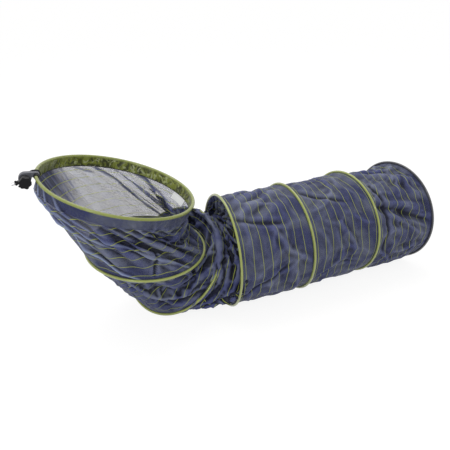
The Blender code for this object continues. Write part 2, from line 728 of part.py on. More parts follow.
    pinch = pin @ Matrix.Rotation(math.radians(PINCH_ANGLE), 4, "Z")
    pinch = pinch @ Matrix.Translation((0, 0, centre_depth)) @ Matrix.Rotation(math.pi / 2, 4, "Y")
    tip = BLOCK_RADIUS - PINCH_SCREW_DEPTH
    neck = BLOCK_RADIUS + PINCH_NECK_LENGTH
    profile = [(0, tip), (PINCH_SCREW_RADIUS, tip), (PINCH_SCREW_RADIUS, neck)]
    for k in range(5):
        a = math.radians(-60.0 + 37.5 * k)
        profile.append((PINCH_HEAD_RADIUS * math.cos(a), neck + PINCH_HEAD_RADIUS * (0.87 + math.sin(a))))
    profile[-1] = (0, profile[-1][1])
    finish("pinch_screw", turned(profile, 12), "black_nylon", pinch, tilting)
    cut(block, rod_cutter("block_pinch_hole", PINCH_SCREW_RADIUS + CLEARANCE, tip - CLEARANCE, neck, pinch, 12))

    # the knob and what it presses on
    bm = disc_with_bore(WASHER_RADIUS, bolt_bore, washer_start, washer_end)
    finish("knob_washer", bm, "screw_steel", pin, parents["knob_washer"])
    outline = []
    for k in range(6 * KNOB_LOBES):
        a = 2 * math.pi * k / (6 * KNOB_LOBES)
        reach = KNOB_RADIUS - KNOB_LOBE_DEPTH * (0.5 - 0.5 * math.cos(KNOB_LOBES * a))
        outline.append((reach * math.cos(a), reach * math.sin(a)))
    knob = finish("tilt_knob", extruded(outline, knob_start, knob_start + KNOB_THICKNESS), "black_nylon", pin,
                  parents["tilt_knob"])
    cut(knob, rod_cutter("knob_bore", INSERT_RADIUS + CLEARANCE, knob_start - CLEARANCE, insert_end + CLEARANCE,
                         pin))
    bm = disc_with_bore(INSERT_RADIUS, bolt_bore, knob_start + CLEARANCE, insert_end)
    finish("knob_insert", bm, "insert_brass", pin, parents["tilt_knob"])


def ground_line(frame):
    """Where a leaning hoop stands on the ground, and the level line along it there."""
    return frame @ Vector((HOOP_RADIUS, 0, 0)), frame.col[1].to_3d()


def bend_line(above, below):
    """The middle of the net on the outside of a bend, and the line that the bend opens about."""
    line = above.col[2].to_3d().cross(below.col[2].to_3d()).normalized()
    outsides = [hoop.translation + HOOP_RADIUS * line.cross(hoop.col[2].to_3d()) for hoop in (above, below)]
    return (outsides[0] + outsides[1]) / 2, line


def make_pivots(frames):
    """One empty for each moving body, on its joint's axis."""
    pivots = {"ring_4": pivot("ring_4_body", frames["ring_4"])}
    for name, before in (("ring_5", "ring_4"), ("ring_6", "ring_5"), ("end_ring", "ring_6")):
        pivots[name] = pivot(f"{name}_body", frames[name], pivots[before])
    lines = {"ring_3": ground_line(frames["ring_3"]), "ring_2": bend_line(frames["ring_2"], frames["ring_3"])}
    for name, before in (("ring_3", "ring_4"), ("ring_2", "ring_3")):
        point, line = lines[name]
        side = line.cross(Vector((0, 0, 1))).normalized()
        pivots[name] = pivot(f"{name}_body", frame_from(point, line, side), pivots[before])
    pivots["mouth"] = pivot("mouth_body", frames["mouth"], pivots["ring_2"])
    for name, before in (("stud_block", "mouth"), ("lock_ring", "stud_block"), ("knob_washer", "stud_block"),
                         ("tilt_knob", "knob_washer")):
        pivots[name] = pivot(f"{name}_body", hub_place(frames["mouth"]), pivots[before])
    return pivots


def build():
    clear_scene()
    frames = lay_out()
    pivots = make_pivots(frames)
    joint_flats = {"ring_2": 9, "ring_3": 18, "ring_4": 11, "ring_5": 17, "ring_6": 12, "end_ring": 16}
    for body, joint_flat in joint_flats.items():
        tape = "black_tape" if body == "end_ring" else "green_tape"
        sprung_hoop(body, frames[body], tape, joint_flat, pivots[body])
    notch = mouth_pieces(frames["mouth"], pivots["mouth"])
    nets(frames, pivots, notch)
    tilt_block(frames["mouth"], pivots)


build()
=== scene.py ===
import math

import bmesh
import bpy
import numpy as np
from mathutils import Matrix, Vector, noise


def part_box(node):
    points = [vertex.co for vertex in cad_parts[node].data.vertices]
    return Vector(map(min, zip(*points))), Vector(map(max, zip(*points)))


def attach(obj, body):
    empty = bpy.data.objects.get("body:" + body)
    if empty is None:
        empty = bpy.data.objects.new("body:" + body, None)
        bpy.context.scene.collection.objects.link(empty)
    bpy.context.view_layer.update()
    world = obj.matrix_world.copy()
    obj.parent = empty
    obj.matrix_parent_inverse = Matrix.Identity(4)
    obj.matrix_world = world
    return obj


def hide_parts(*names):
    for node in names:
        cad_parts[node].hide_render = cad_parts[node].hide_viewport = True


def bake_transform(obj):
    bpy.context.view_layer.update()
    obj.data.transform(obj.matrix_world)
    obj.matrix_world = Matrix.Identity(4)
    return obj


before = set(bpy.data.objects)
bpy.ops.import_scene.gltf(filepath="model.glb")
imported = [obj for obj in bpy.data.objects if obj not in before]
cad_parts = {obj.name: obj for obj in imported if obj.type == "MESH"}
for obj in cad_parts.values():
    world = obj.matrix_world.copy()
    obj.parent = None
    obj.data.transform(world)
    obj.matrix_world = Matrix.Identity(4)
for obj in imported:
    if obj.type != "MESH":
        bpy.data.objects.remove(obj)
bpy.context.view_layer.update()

# Studio: a camera at the photograph's height and angle, a pale floor, a wide soft light above
# and a weaker one from the left, behind the camera. The floor and the world show white to the
# camera, and the floor keeps a faint shadow of the net.
CAMERA_PLACE = Vector((-0.9569, -1.6550, 1.0850))
CAMERA_HEADING = 61.19
CAMERA_PITCH = 23.47
CAMERA_LENS = 46.4
CAMERA_SENSOR = 36.0
FLOOR_REACH = 30.0
FLOOR_GLOW = 0.88
SKY_STRENGTH = 0.62

white = (1.0, 1.0, 1.0, 1.0)
sky_tint = (0.97, 0.98, 1.0, 1.0)
floor_grey = (0.80, 0.80, 0.80, 1.0)
floor_shadow = (0.20, 0.196, 0.19, 1.0)

scene = bpy.context.scene
scene.view_settings.view_transform = "Standard"
scene.cycles.transparent_max_bounces = 32


def placed(name, data):
    """A new object in the scene."""
    piece = bpy.data.objects.new(name, data)
    bpy.context.collection.objects.link(piece)
    return piece


camera_data = bpy.data.cameras.new("camera")
camera_data.lens = CAMERA_LENS
camera_data.sensor_width = CAMERA_SENSOR
camera = placed("camera", camera_data)
camera.location = CAMERA_PLACE
camera.rotation_euler = (math.radians(90.0 - CAMERA_PITCH), 0.0, math.radians(CAMERA_HEADING - 90.0))
scene.camera = camera


def area_light(name, place, target, size, power, colour):
    light = bpy.data.lights.new(name, "AREA")
    light.shape = "RECTANGLE"
    light.size, light.size_y = size
    light.energy = power
    light.color = colour
    lamp = placed(name, light)
    lamp.location = place
    lamp.rotation_euler = (Vector(target) - Vector(place)).to_track_quat("-Z", "Y").to_euler()


area_light("sky_panel", (-0.3, 0.9, 3.2), (0.1, 0.0, 0.2), (3.0, 2.2), 42.0, (1.0, 0.99, 0.97))
area_light("side_panel", (-2.6, -2.2, 1.8), (0.0, 0.0, 0.2), (0.9, 0.9), 24.0, (0.96, 0.98, 1.0))


def adder(tree):
    """A function that adds a node to a tree, with each input a value or another node's output."""

    def add(kind, values=(), **settings):
        node = tree.nodes.new(kind)
        for key, value in settings.items():
            setattr(node, key, value)
        for socket, value in values:
            if isinstance(value, bpy.types.NodeSocket):
                tree.links.new(value, node.inputs[socket])
            else:
                node.inputs[socket].default_value = value
        return node

    return add


def node_tree(name):
    """A new material with an empty node tree, and the function that adds a node to it."""
    made = bpy.data.materials.new(name)
    made.use_nodes = True
    made.node_tree.nodes.clear()
    return made, adder(made.node_tree)


def worked(add, operation, *values):
    """The result of a sum on numbers and outputs."""
    return add("ShaderNodeMath", list(enumerate(values)), operation=operation).outputs[0]


def shown_or_lit(add, shown, lit):
    """One shader for what the camera sees, also in gloss or through a net, and another for what lights it."""
    rays = add("ShaderNodeLightPath").outputs
    seen = worked(add, "MAXIMUM", rays["Is Camera Ray"], rays["Is Glossy Ray"])
    seen = worked(add, "MAXIMUM", seen, rays["Is Transmission Ray"])
    return add("ShaderNodeMixShader", [("Fac", seen), (1, lit.outputs[0]), (2, shown.outputs[0])]).outputs[0]


world = bpy.data.worlds.new("world")
scene.world = world
world.use_nodes = True
world.node_tree.nodes.clear()
add = adder(world.node_tree)
soft_sky = add("ShaderNodeBackground", [("Color", sky_tint), ("Strength", SKY_STRENGTH)])
white_sky = add("ShaderNodeBackground", [("Color", white), ("Strength", 1.0)])
add("ShaderNodeOutputWorld", [("Surface", shown_or_lit(add, white_sky, soft_sky))])

floor_material, add = node_tree("pale_floor")
plain = add("ShaderNodeBsdfDiffuse", [("Color", floor_grey)])
shaded = add("ShaderNodeBsdfDiffuse", [("Color", floor_shadow)])
glow = add("ShaderNodeEmission", [("Color", white), ("Strength", FLOOR_GLOW)])
bright = add("ShaderNodeAddShader", [(0, shaded.outputs[0]), (1, glow.outputs[0])])
add("ShaderNodeOutputMaterial", [("Surface", shown_or_lit(add, bright, plain))])
floor_mesh = bpy.data.meshes.new("floor")
floor_corners = [(x * FLOOR_REACH, y * FLOOR_REACH, 0.0) for x, y in ((-1, -1), (1, -1), (1, 1), (-1, 1))]
floor_mesh.from_pydata(floor_corners, [], [(0, 1, 2, 3)])
floor_mesh.materials.append(floor_material)
floor = placed("floor", floor_mesh)

# Hoops' places. The hoops are counted from the mouth, and each looks out of its mouth side. A hoop's
# own X points down its plane, Y across it and Z out of its mouth side, as in the solids.
HOOP_TURNS = {
    "mouth": (333.0, 75.5),
    "ring_2": (268.0, 82.0),
    "ring_3": (202.0, 38.0),
    "ring_4": (170.5, -1.5),
    "ring_5": (175.0, -3.5),
    "ring_6": (181.0, -2.0),
    "end_ring": (185.0, -2.5),
}


def hoop_place(body):
    low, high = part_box("mouth_hoop" if body == "mouth" else f"{body}_tape")
    centre = (Vector(low) + Vector(high)) / 2
    turn, lift = (math.radians(angle) for angle in HOOP_TURNS[body])
    normal = Vector((math.cos(lift) * math.cos(turn), math.cos(lift) * math.sin(turn), math.sin(lift)))
    down = (Vector((0, 0, -1)) + normal * normal.z).normalized()
    across = normal.cross(down)
    return Matrix.Translation(centre) @ Matrix((down, across, normal)).transposed().to_4x4()


hoops = {body: hoop_place(body) for body in HOOP_TURNS}

# Netting: fine dark knitted mesh with thin yellow-green stripes knitted in. One straight tube of it is cut
# for each bay and sewn to the hoops at both ends. The drape is a cloth simulation that starts from the
# straight tube and carries its held ends to the hoops, so the spare length creases between them.
NET_RADIUS = 0.1914
MOUTH_NET_RADIUS = 0.2410
NET_CUTS = (0.222, 0.292, 0.292, 0.2705, 0.277, 0.264)
NET_EASE = (0.060, -0.030, -0.020, 0.022, 0.022, 0.010)
NET_TUCK = (0.0, 0.0, 1.0, 0.0, 0.0, 0.0)
NET_TOP = -0.0340
NET_PULL = 0.40
NET_AROUND = 144
NET_ALONG = 30
COLLAR_SHARE = 0.13
TUCK_IN = 0.150
TUCK_DOWN = 0.170
TUCK_HOLD = 0.62
TUCK_PEAK = 0.444
ROLL_START = 88.0
ROLL_END = 195.0
ROLL_RISE = 14.0
ROLL_FALL = 30.0
ROLL_HOLD = 0.97
ROLL = ((0.0, 0.0), (-0.006, 0.008), (-0.004, 0.015), (0.003, 0.018), (0.010, 0.015), (0.014, 0.007),
        (0.013, -0.003))
CRUMPLE = 0.0075
CRUMPLE_SIZE = 0.075
QUICK_PLEATS = 4
CARRY_FRAMES = 20
DRAPE_FRAMES = 40
CLOTH = {"vertex_group_mass": "held", "quality": 6, "mass": 0.1, "air_damping": 1.0, "tension_stiffness": 30.0,
         "compression_stiffness": 30.0, "shear_stiffness": 7.0, "bending_stiffness": 1.5, "tension_damping": 5.0,
         "compression_damping": 5.0, "shear_damping": 5.0, "bending_damping": 0.5}
CLOTH_WEIGHT = 0.45
CLOTH_GAP = 0.001
ABOVE_GROUND = 0.0008
STRIPE_SPACING = 0.0315
STRIPE_WIDTH = 0.0013
MESH_PITCH = 0.0024

net_colour = (0.040, 0.046, 0.112, 1.0)
faded_colour = (0.104, 0.114, 0.165, 1.0)
# painted highlight colour, mixed into the net along the sharpest folds
painted_glint_colour = (0.42, 0.50, 0.72, 1.0)
stripe_colour = (0.38, 0.43, 0.06, 1.0)
sheen_tint = (0.55, 0.6, 0.95, 1.0)


def ranged(add, value, low, high, to_low=0.0, to_high=1.0):
    """An output carried from one range to another and held within it."""
    return add("ShaderNodeMapRange", [("Value", value), ("From Min", low), ("From Max", high),
                                      ("To Min", to_low), ("To Max", to_high)]).outputs[0]


def mixed(add, share, under, over, blend="MIX"):
    """A share of one colour over another."""
    return add("ShaderNodeMix", [(0, share), (6, under), (7, over)], data_type="RGBA",
               blend_type=blend).outputs[2]


def clouded(add, place, scale, detail, distortion=0.0):
    """Soft random patches."""
    return add("ShaderNodeTexNoise", [("Vector", place), ("Scale", scale), ("Detail", detail),
                                      ("Distortion", distortion)]).outputs["Fac"]


def raised(add, height, strength, distance, under=(), invert=False):
    """The surface's tilt where a height raises it, over that of another such relief if one is given."""
    return add("ShaderNodeBump", [("Strength", strength), ("Distance", distance), ("Height", height), *under],
               invert=invert).outputs[0]


def surfaced(add, colour, normal, roughness, *others):
    """Ends a material's tree in its shader."""
    shader = add("ShaderNodeBsdfPrincipled", [("Base Color", colour), ("Normal", normal),
                                              ("Roughness", roughness), *others])
    add("ShaderNodeOutputMaterial", [("Surface", shader.outputs[0])])


def net_material(name, open_share, thread_share):
    """Knitted mesh: a diamond lattice of thread over see-through holes, with solid stripes across it.

    Its colour carries painted shade in the hollows of its creases and painted light on their ridges; it closes where
    the cloth lies double, and painted highlights lie along the sharpest folds.
    """
    made, add = node_tree(name)
    sheet = add("ShaderNodeUVMap", uv_map="cloth").outputs[0]
    split = add("ShaderNodeSeparateXYZ", [(0, sheet)]).outputs
    scaled_u = worked(add, "MULTIPLY", split[0], 1.0 / MESH_PITCH)
    scaled_v = worked(add, "MULTIPLY", split[1], 1.0 / MESH_PITCH)
    rising = worked(add, "PINGPONG", worked(add, "ADD", scaled_u, scaled_v), 0.5)
    falling = worked(add, "PINGPONG", worked(add, "SUBTRACT", scaled_u, scaled_v), 0.5)
    nearest = worked(add, "MINIMUM", rising, falling)
    hole = ranged(add, nearest, thread_share * 0.5, thread_share * 0.5 + 0.10)
    stripe_place = worked(add, "FRACT", worked(add, "MULTIPLY", split[1], 1.0 / STRIPE_SPACING))
    off_stripe = worked(add, "ABSOLUTE", worked(add, "SUBTRACT", stripe_place, 0.5))
    stripe_share = STRIPE_WIDTH / STRIPE_SPACING
    stripe = ranged(add, off_stripe, stripe_share * 0.50, stripe_share * 0.62, 1.0, 0.0)
    patches = ranged(add, clouded(add, sheet, 11.0, 4.0, 0.8), 0.42, 0.66)
    # painted shade and light: the crease attribute darkens the colour in the hollows of the creases and lightens it on
    # their ridges, and the glint attribute mixes in a painted highlight colour
    crease, dense, glint = (add("ShaderNodeAttribute", attribute_name=part).outputs["Fac"]
                            for part in ("crease", "dense", "glint"))
    shade = ranged(add, crease, -1.0, 1.0, 0.25, 1.85)
    shades = add("ShaderNodeCombineColor", [(0, shade), (1, shade), (2, shade)]).outputs[0]
    dyed = mixed(add, patches, net_colour, faded_colour)
    dyed = mixed(add, 1.0, dyed, shades, "MULTIPLY")
    dyed = mixed(add, glint, dyed, painted_glint_colour)
    base = mixed(add, stripe, dyed, stripe_colour)
    see_through = worked(add, "MULTIPLY", hole, open_share)
    see_through = worked(add, "MULTIPLY", see_through, worked(add, "SUBTRACT", 1.0, dense))
    plain_cloth = worked(add, "SUBTRACT", 1.0, worked(add, "MULTIPLY", stripe, 0.85))
    alpha = worked(add, "SUBTRACT", 1.0, worked(add, "MULTIPLY", see_through, plain_cloth))
    surfaced(add, base, raised(add, nearest, 0.5, 0.0004, invert=True), 0.62, ("Alpha", alpha),
             ("Specular IOR Level", 0.16), ("Sheen Weight", 0.10), ("Sheen Roughness", 0.4),
             ("Sheen Tint", sheen_tint))
    return made


tube_net = net_material("tube_netting", 0.45, 0.50)
mouth_net = net_material("mouth_netting", 0.96, 0.30)


def hoop_point(place, radius, angle, height):
    """A point by its angle round a hoop and its height above the hoop's plane."""
    return place @ Vector((radius * math.cos(angle), radius * math.sin(angle), height))


def hoop_loop(place, radius, height, turn, count):
    """Points at even steps round a hoop."""
    return [hoop_point(place, radius, turn + 2 * math.pi * k / count, height) for k in range(count)]


def twist_between(upper, lower):
    """The turn about its normal that lines a lower hoop up with the one above it."""
    down_a, across_a = upper.col[0].to_3d(), upper.col[1].to_3d()
    down_b, across_b = lower.col[0].to_3d(), lower.col[1].to_3d()
    sine = down_a.dot(across_b) - across_a.dot(down_b)
    cosine = down_a.dot(down_b) + across_a.dot(across_b)
    return math.atan2(sine, cosine)


def tube_mesh(name, grid, width, length):
    """A tube's mesh from its rows of points, with a map of metres round and along the cut cloth."""
    rows, around = grid.shape[:2]
    faces = []
    for j in range(rows - 1):
        for k in range(around):
            n = (k + 1) % around
            row, below = j * around, (j + 1) * around
            faces.append((row + k, below + k, below + n, row + n))
    mesh = bpy.data.meshes.new(name)
    mesh.from_pydata(grid.reshape(-1, 3).tolist(), [], faces)
    cloth_map = mesh.uv_layers.new(name="cloth")
    for polygon in mesh.polygons:
        j, k = divmod(polygon.index, around)
        corners = ((k, j), (k, j + 1), (k + 1, j + 1), (k + 1, j))
        for loop, (cu, cv) in zip(polygon.loop_indices, corners):
            cloth_map.data[loop].uv = (cu / around * width, cv / (rows - 1) * length)
    mesh.shade_smooth()
    return mesh


def rolled(row, angle):
    """How far the spare net lies rolled over the tape at the inside of the bend, by angle round its hoop."""
    rise = min(max((angle - ROLL_START) / ROLL_RISE, 0.0), 1.0)
    rise *= min(max((ROLL_END - angle) / ROLL_FALL, 0.0), 1.0)
    return rise * rise * (3 - 2 * rise) if row < len(ROLL) else 0.0


def net_tube(name, upper, lower, upper_radius, upper_height, cut_length, ease, tuck):
    """A bay's net as a straight cut tube, with the shape it takes between its hoops as a second key.

    Where a bend leaves much spare length, tuck leads the net in through the lower hoop and back out below.
    A quick form with plain pleats in place of the drape is written in below, but it is switched off.
    """
    turn = twist_between(upper, lower)
    top = hoop_loop(upper, upper_radius, upper_height, 0.0, NET_AROUND)
    bottom = hoop_loop(lower, NET_RADIUS, 0.0, turn, NET_AROUND)
    away = -upper.col[2].to_3d()
    into = -lower.col[2].to_3d()
    hung, cut, held_by = [], [], []
    for j in range(NET_ALONG + 1):
        s = j / NET_ALONG
        start, end = 2 * s**3 - 3 * s**2 + 1, 3 * s**2 - 2 * s**3
        leave, arrive = s**3 - 2 * s**2 + s, s**3 - s**2
        radius = upper_radius + (NET_RADIUS - upper_radius) * s
        for k in range(NET_AROUND):
            degrees = 360.0 * k / NET_AROUND
            a, b = top[k], bottom[k]
            pull = NET_PULL * (b - a).length
            point = start * a + end * b + leave * pull * away + arrive * pull * into
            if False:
                inward = (start * upper.translation + end * lower.translation - point).normalized()
                spare = math.sqrt(max(cut_length**2 - (b - a).length**2, 0.0)) / (4 * QUICK_PLEATS)
                point += inward * spare * (1.0 - math.cos(2 * math.pi * QUICK_PLEATS * s))
            elif tuck > 0.0:
                share = tuck * max(0.0, 1.0 - (b - a).length / (0.8 * cut_length))
                lean = 3 * s**2 * (1 - s) / TUCK_PEAK
                point += (into * TUCK_IN - Vector((0, 0, TUCK_DOWN))) * share * lean
                over = rolled(j, degrees)
                if over > 0.0:
                    # the roll is thinner towards its far end, and uneven all along
                    thinner = 1.0 - 0.5 * min(max((degrees - 140.0) / 60.0, 0.0), 1.0)
                    uneven = thinner * (1.0 + 0.5 * noise.noise(Vector((k * 0.22, j * 0.35, 3.0))))
                    out, high = ROLL[j]
                    reach = (NET_RADIUS + out * uneven) / NET_RADIUS
                    flat = upper.translation + (top[k] - upper.translation) * reach - away * high * uneven
                    point = point.lerp(flat, over)
                held_by.append(max(TUCK_HOLD * min(1.0, 2.0 * max(share, over)), ROLL_HOLD * over))
            point.z = max(point.z, 0.0012)
            hung.append(point)
            angle = 2 * math.pi * k / NET_AROUND
            spot = Vector((math.cos(angle) * radius, math.sin(angle) * radius,
                           s * cut_length + upper.translation.x))
            crumple = CRUMPLE * noise.fractal(spot / CRUMPLE_SIZE, 1.0, 2.0, 3)
            reach = radius * (1.0 + ease * math.sin(math.pi * s)) + crumple * math.sin(math.pi * s)
            cut.append(hoop_point(lower, reach, angle + turn, (1 - s) * cut_length))
    grid = np.array([tuple(point) for point in (cut)])
    grid = grid.reshape(NET_ALONG + 1, NET_AROUND, 3)
    piece = placed(name, tube_mesh(name, grid, math.pi * (upper_radius + NET_RADIUS), cut_length))
    held = piece.vertex_groups.new(name="held")
    last = NET_ALONG * NET_AROUND
    for index, hold in enumerate(held_by):
        held.add([index], hold, "REPLACE")
    held.add(list(range(NET_AROUND)) + list(range(last, last + NET_AROUND)), 1.0, "REPLACE")
    piece.shape_key_add(name="cut")
    key = piece.shape_key_add(name="hung")
    key.data.foreach_set("co", np.array([tuple(p) for p in hung], dtype=np.float32).ravel())
    for frame_number, share in ((1, 0.0), (CARRY_FRAMES, 1.0)):
        key.value = share
        key.keyframe_insert("value", frame=frame_number)
    return piece


def drape(pieces):
    """Lets the nets settle while their ends are carried to the hoops, then keeps the shapes they end in."""
    ground = placed("ground", floor_mesh.copy())
    ground.modifiers.new("ground", "COLLISION")
    ground.collision.thickness_outer = CLOTH_GAP
    for piece in pieces:
        cloth = piece.modifiers.new("drape", "CLOTH")
        for key, value in CLOTH.items():
            setattr(cloth.settings, key, value)
        cloth.settings.effector_weights.gravity = CLOTH_WEIGHT
        cloth.collision_settings.distance_min = CLOTH_GAP
        cloth.point_cache.frame_start = 1
        cloth.point_cache.frame_end = DRAPE_FRAMES
    for step in range(1, DRAPE_FRAMES + 1):
        scene.frame_set(step)
    depsgraph = bpy.context.evaluated_depsgraph_get()
    for piece in pieces:
        evaluated = piece.evaluated_get(depsgraph)
        settled = evaluated.to_mesh()
        points = np.empty(len(settled.vertices) * 3, dtype=np.float32)
        settled.vertices.foreach_get("co", points)
        evaluated.to_mesh_clear()
        points[2::3] = np.maximum(points[2::3], ABOVE_GROUND)
        piece.modifiers.clear()
        piece.data.shape_keys.animation_data_clear()
        piece.shape_key_clear()
        piece.vertex_groups.clear()
        piece.data.vertices.foreach_set("co", points)
        piece.data.update()
    scene.frame_set(1)
    bpy.data.objects.remove(ground)


CHAIN = ("mouth", "ring_2", "ring_3", "ring_4", "ring_5", "ring_6", "end_ring")
panels = []
for number, (above, below) in enumerate(zip(CHAIN, CHAIN[1:]), start=1):
    upper_radius, upper_height = (MOUTH_NET_RADIUS, NET_TOP) if number == 1 else (NET_RADIUS, 0.0)
    panels.append(net_tube(f"netting_{number}", hoops[above], hoops[below], upper_radius, upper_height,
                           NET_CUTS[number - 1], NET_EASE[number - 1], NET_TUCK[number - 1]))
drape(panels)

# Creases: the settled nets are crumpled further, in sharp ridges between soft hollows that die out at the
# hoops, and folded along the longer lines that the cloth has taken. How sharply the cloth bends at each point
# is kept as the crease attribute, which paints shade into the net's colour in the hollows and paints light onto
# the ridges. A bulge is given as its middle and spread round the net, the share of the way down where it is
# highest, and its height. A fold is given as its route, in angle round the net and share of the way down, its
# height, its half width, how much of it lies double, and how much painted highlight it carries.
CREASE_DEPTH = (0.0045, 0.0070, 0.0110, 0.0085, 0.0085, 0.0125)
CREASE_SIZE = (0.110, 0.075, 0.050, 0.100, 0.095, 0.080)
CREASE_SEED = 5
FINE_SHARE = (0.22, 0.26, 0.42, 0.16, 0.15, 0.20)
FINE_SIZE = 0.40
FADE_SHARE = 0.16
MOUTH_FADE_SHARE = 0.12
GATHER_DEPTH = 0.0030
GATHER_SIZE = 0.016
GATHER_SHARE = 0.3
SMOOTHING = 10
TAPE_CLEAR = 0.005
TAPE_ROWS = 7
# the bend that gives full painted shade in a hollow or full painted light on a ridge
FULL_SHADE_BEND = 0.00040
NET_DENSE = (0.0, 0.30, 0.50, 0.0, 0.0, 0.0)
NEAR_SIDE = 268.0
NEAR_SPREAD = 58.0
NEAR_DENSE = 0.62
LEFT_SIDE = 172.0
LEFT_SPREAD = 19.0
LEFT_DENSE = 0.95
noise.seed_set(CREASE_SEED)
BULGES = {
    4: ((185.0, 85.0, 0.30, 0.019), (60.0, 60.0, 0.50, 0.004)),
    5: ((185.0, 80.0, 0.22, 0.012), (180.0, 70.0, 0.85, -0.008), (20.0, 50.0, 0.45, 0.006)),
    6: ((185.0, 80.0, 0.75, 0.012), (30.0, 60.0, 0.35, 0.006)),
}
FOLDS = {
    1: ((((117, -0.02), (102, 0.23), (99, 0.37), (88, 0.70), (75, 0.95)), 0.007, 0.0065, 1.0, 0.0),
        (((137, -0.02), (127, 0.07), (119, 0.14)), 0.004, 0.0060, 0.8, 0.0),
        (((82, -0.02), (70, 0.04), (60, 0.14), (52, 0.50), (53, 0.95)), 0.008, 0.0078, 1.0, 0.0),
        (((98, 0.02), (90, 0.10), (84, 0.24)), 0.004, 0.0050, 0.6, 0.0),
        (((64, 0.10), (50, 0.17), (38, 0.24)), 0.005, 0.0060, 0.8, 0.0),
        (((180, -0.02), (177, 0.80)), 0.006, 0.0080, 0.9, 0.0),
        (((171, -0.02), (169, 0.70)), 0.006, 0.0070, 0.9, 0.0),
        (((163, -0.02), (161, 0.66)), 0.005, 0.0065, 0.9, 0.0),
        (((155, -0.02), (155, 0.58)), 0.005, 0.0060, 0.8, 0.0),
        (((147, -0.02), (149, 0.46)), 0.004, 0.0055, 0.7, 0.0),
        (((196, -0.13), (204, 0.02), (226, 0.40), (250, 0.78), (272, 1.0)), 0.010, 0.0100, 0.6, 0.80),
        (((205, -0.13), (214, 0.02), (232, 0.30), (262, 0.80)), 0.007, 0.0080, 0.5, 0.60),
        (((217, -0.13), (226, 0.05), (250, 0.35), (272, 0.62)), 0.007, 0.0080, 0.5, 0.50),
        (((256, -0.13), (268, 0.04), (286, 0.34), (304, 0.60), (322, 0.72)), -0.010, 0.0100, 0.8, 0.0),
        (((300, 0.55), (286, 0.92)), -0.008, 0.0080, 0.8, 0.0),
        (((229, -0.13), (240, 0.02), (262, 0.30), (292, 0.62), (322, 0.98)), 0.008, 0.0080, 0.6, 0.30),
        (((279, -0.13), (290, 0.02), (316, 0.36), (338, 0.64)), -0.009, 0.0090, 0.7, 0.0)),
    4: ((((146, 0.02), (142, 0.16), (134, 0.55), (130, 0.72)), -0.010, 0.0160, 0.5, 0.0),
        (((56, 0.04), (66, 0.22), (80, 0.52), (92, 0.74)), -0.009, 0.0140, 0.5, 0.0),
        (((128, 0.48), (104, 0.66), (88, 0.95)), 0.007, 0.0160, 0.0, 0.0)),
    5: ((((165, 0.03), (158, 0.16), (146, 0.46), (138, 0.70)), -0.009, 0.0150, 0.5, 0.0),
        (((118, 0.42), (96, 0.60), (72, 0.66)), 0.008, 0.0170, 0.0, 0.0),
        (((58, 0.10), (70, 0.40), (64, 0.80)), -0.007, 0.0140, 0.4, 0.0)),
    6: ((((126, 0.04), (122, 0.24), (115, 0.47), (105, 0.73), (95, 0.97)), -0.020, 0.0250, 0.7, 0.0),
        (((150, 0.10), (128, 0.24), (100, 0.20), (60, 0.10)), -0.010, 0.0120, 0.5, 0.0),
        (((74, 0.04), (60, 0.26), (40, 0.40)), 0.009, 0.0120, 0.2, 0.0)),
}


def refined(grid):
    """The grid with a point added midway along each of its lines, on a smooth curve through its neighbours."""
    before, after, next_after = (np.roll(grid, shift, axis=1) for shift in (1, -1, -2))
    wide = np.stack((grid, (9 * (grid + after) - before - next_after) / 16), axis=2)
    wide = wide.reshape(grid.shape[0], -1, 3)
    padded = np.concatenate((2 * wide[:1] - wide[1:2], wide, 2 * wide[-1:] - wide[-2:-1]))
    middles = (9 * (padded[1:-2] + padded[2:-1]) - padded[:-3] - padded[3:]) / 16
    long = np.empty((2 * wide.shape[0] - 1, wide.shape[1], 3))
    long[::2], long[1::2] = wide, middles
    return long


def evened(values):
    """Each value on the grid averaged with its neighbours."""
    padded = np.concatenate((values[:1], values, values[-1:]))
    along = (padded[:-2] + 2 * values + padded[2:]) / 4
    return (np.roll(along, 1, axis=1) + 2 * along + np.roll(along, -1, axis=1)) / 4


def outward(grid):
    """Smoothed unit normals of the tube, pointing out of it."""
    round_way = np.roll(grid, -1, axis=1) - np.roll(grid, 1, axis=1)
    normals = np.cross(np.gradient(grid, axis=0), round_way)
    for _ in range(3):
        normals = evened(normals)
    normals /= np.linalg.norm(normals, axis=2, keepdims=True) + 1e-12
    spokes = grid - grid.mean(axis=1, keepdims=True)
    return normals if (normals * spokes).sum() > 0 else -normals


def wrapped(degrees):
    """Angles brought to within half a turn of zero."""
    return (degrees + 180.0) % 360.0 - 180.0


def off_route(angle, share, route, unit, length):
    """Each point's distance over the cloth from a fold's route, and what is left of the fold there."""
    nearest, travelled = np.full(angle.shape, 1.0), np.zeros(angle.shape)
    for index, ((a0, s0), (a1, s1)) in enumerate(zip(route, route[1:])):
        x, y = wrapped(angle - a0) * unit, (share - s0) * length
        across, down = (a1 - a0) * unit, (s1 - s0) * length
        part = np.clip((x * across + y * down) / (across**2 + down**2), 0.0, 1.0)
        off = np.hypot(x - part * across, y - part * down)
        travelled = np.where(off < nearest, (index + part) / (len(route) - 1), travelled)
        nearest = np.minimum(nearest, off)
    left = 1.0 if route[-1][1] > 0.9 else np.clip((1.0 - travelled) / 0.3, 0.0, 1.0)
    return nearest, left


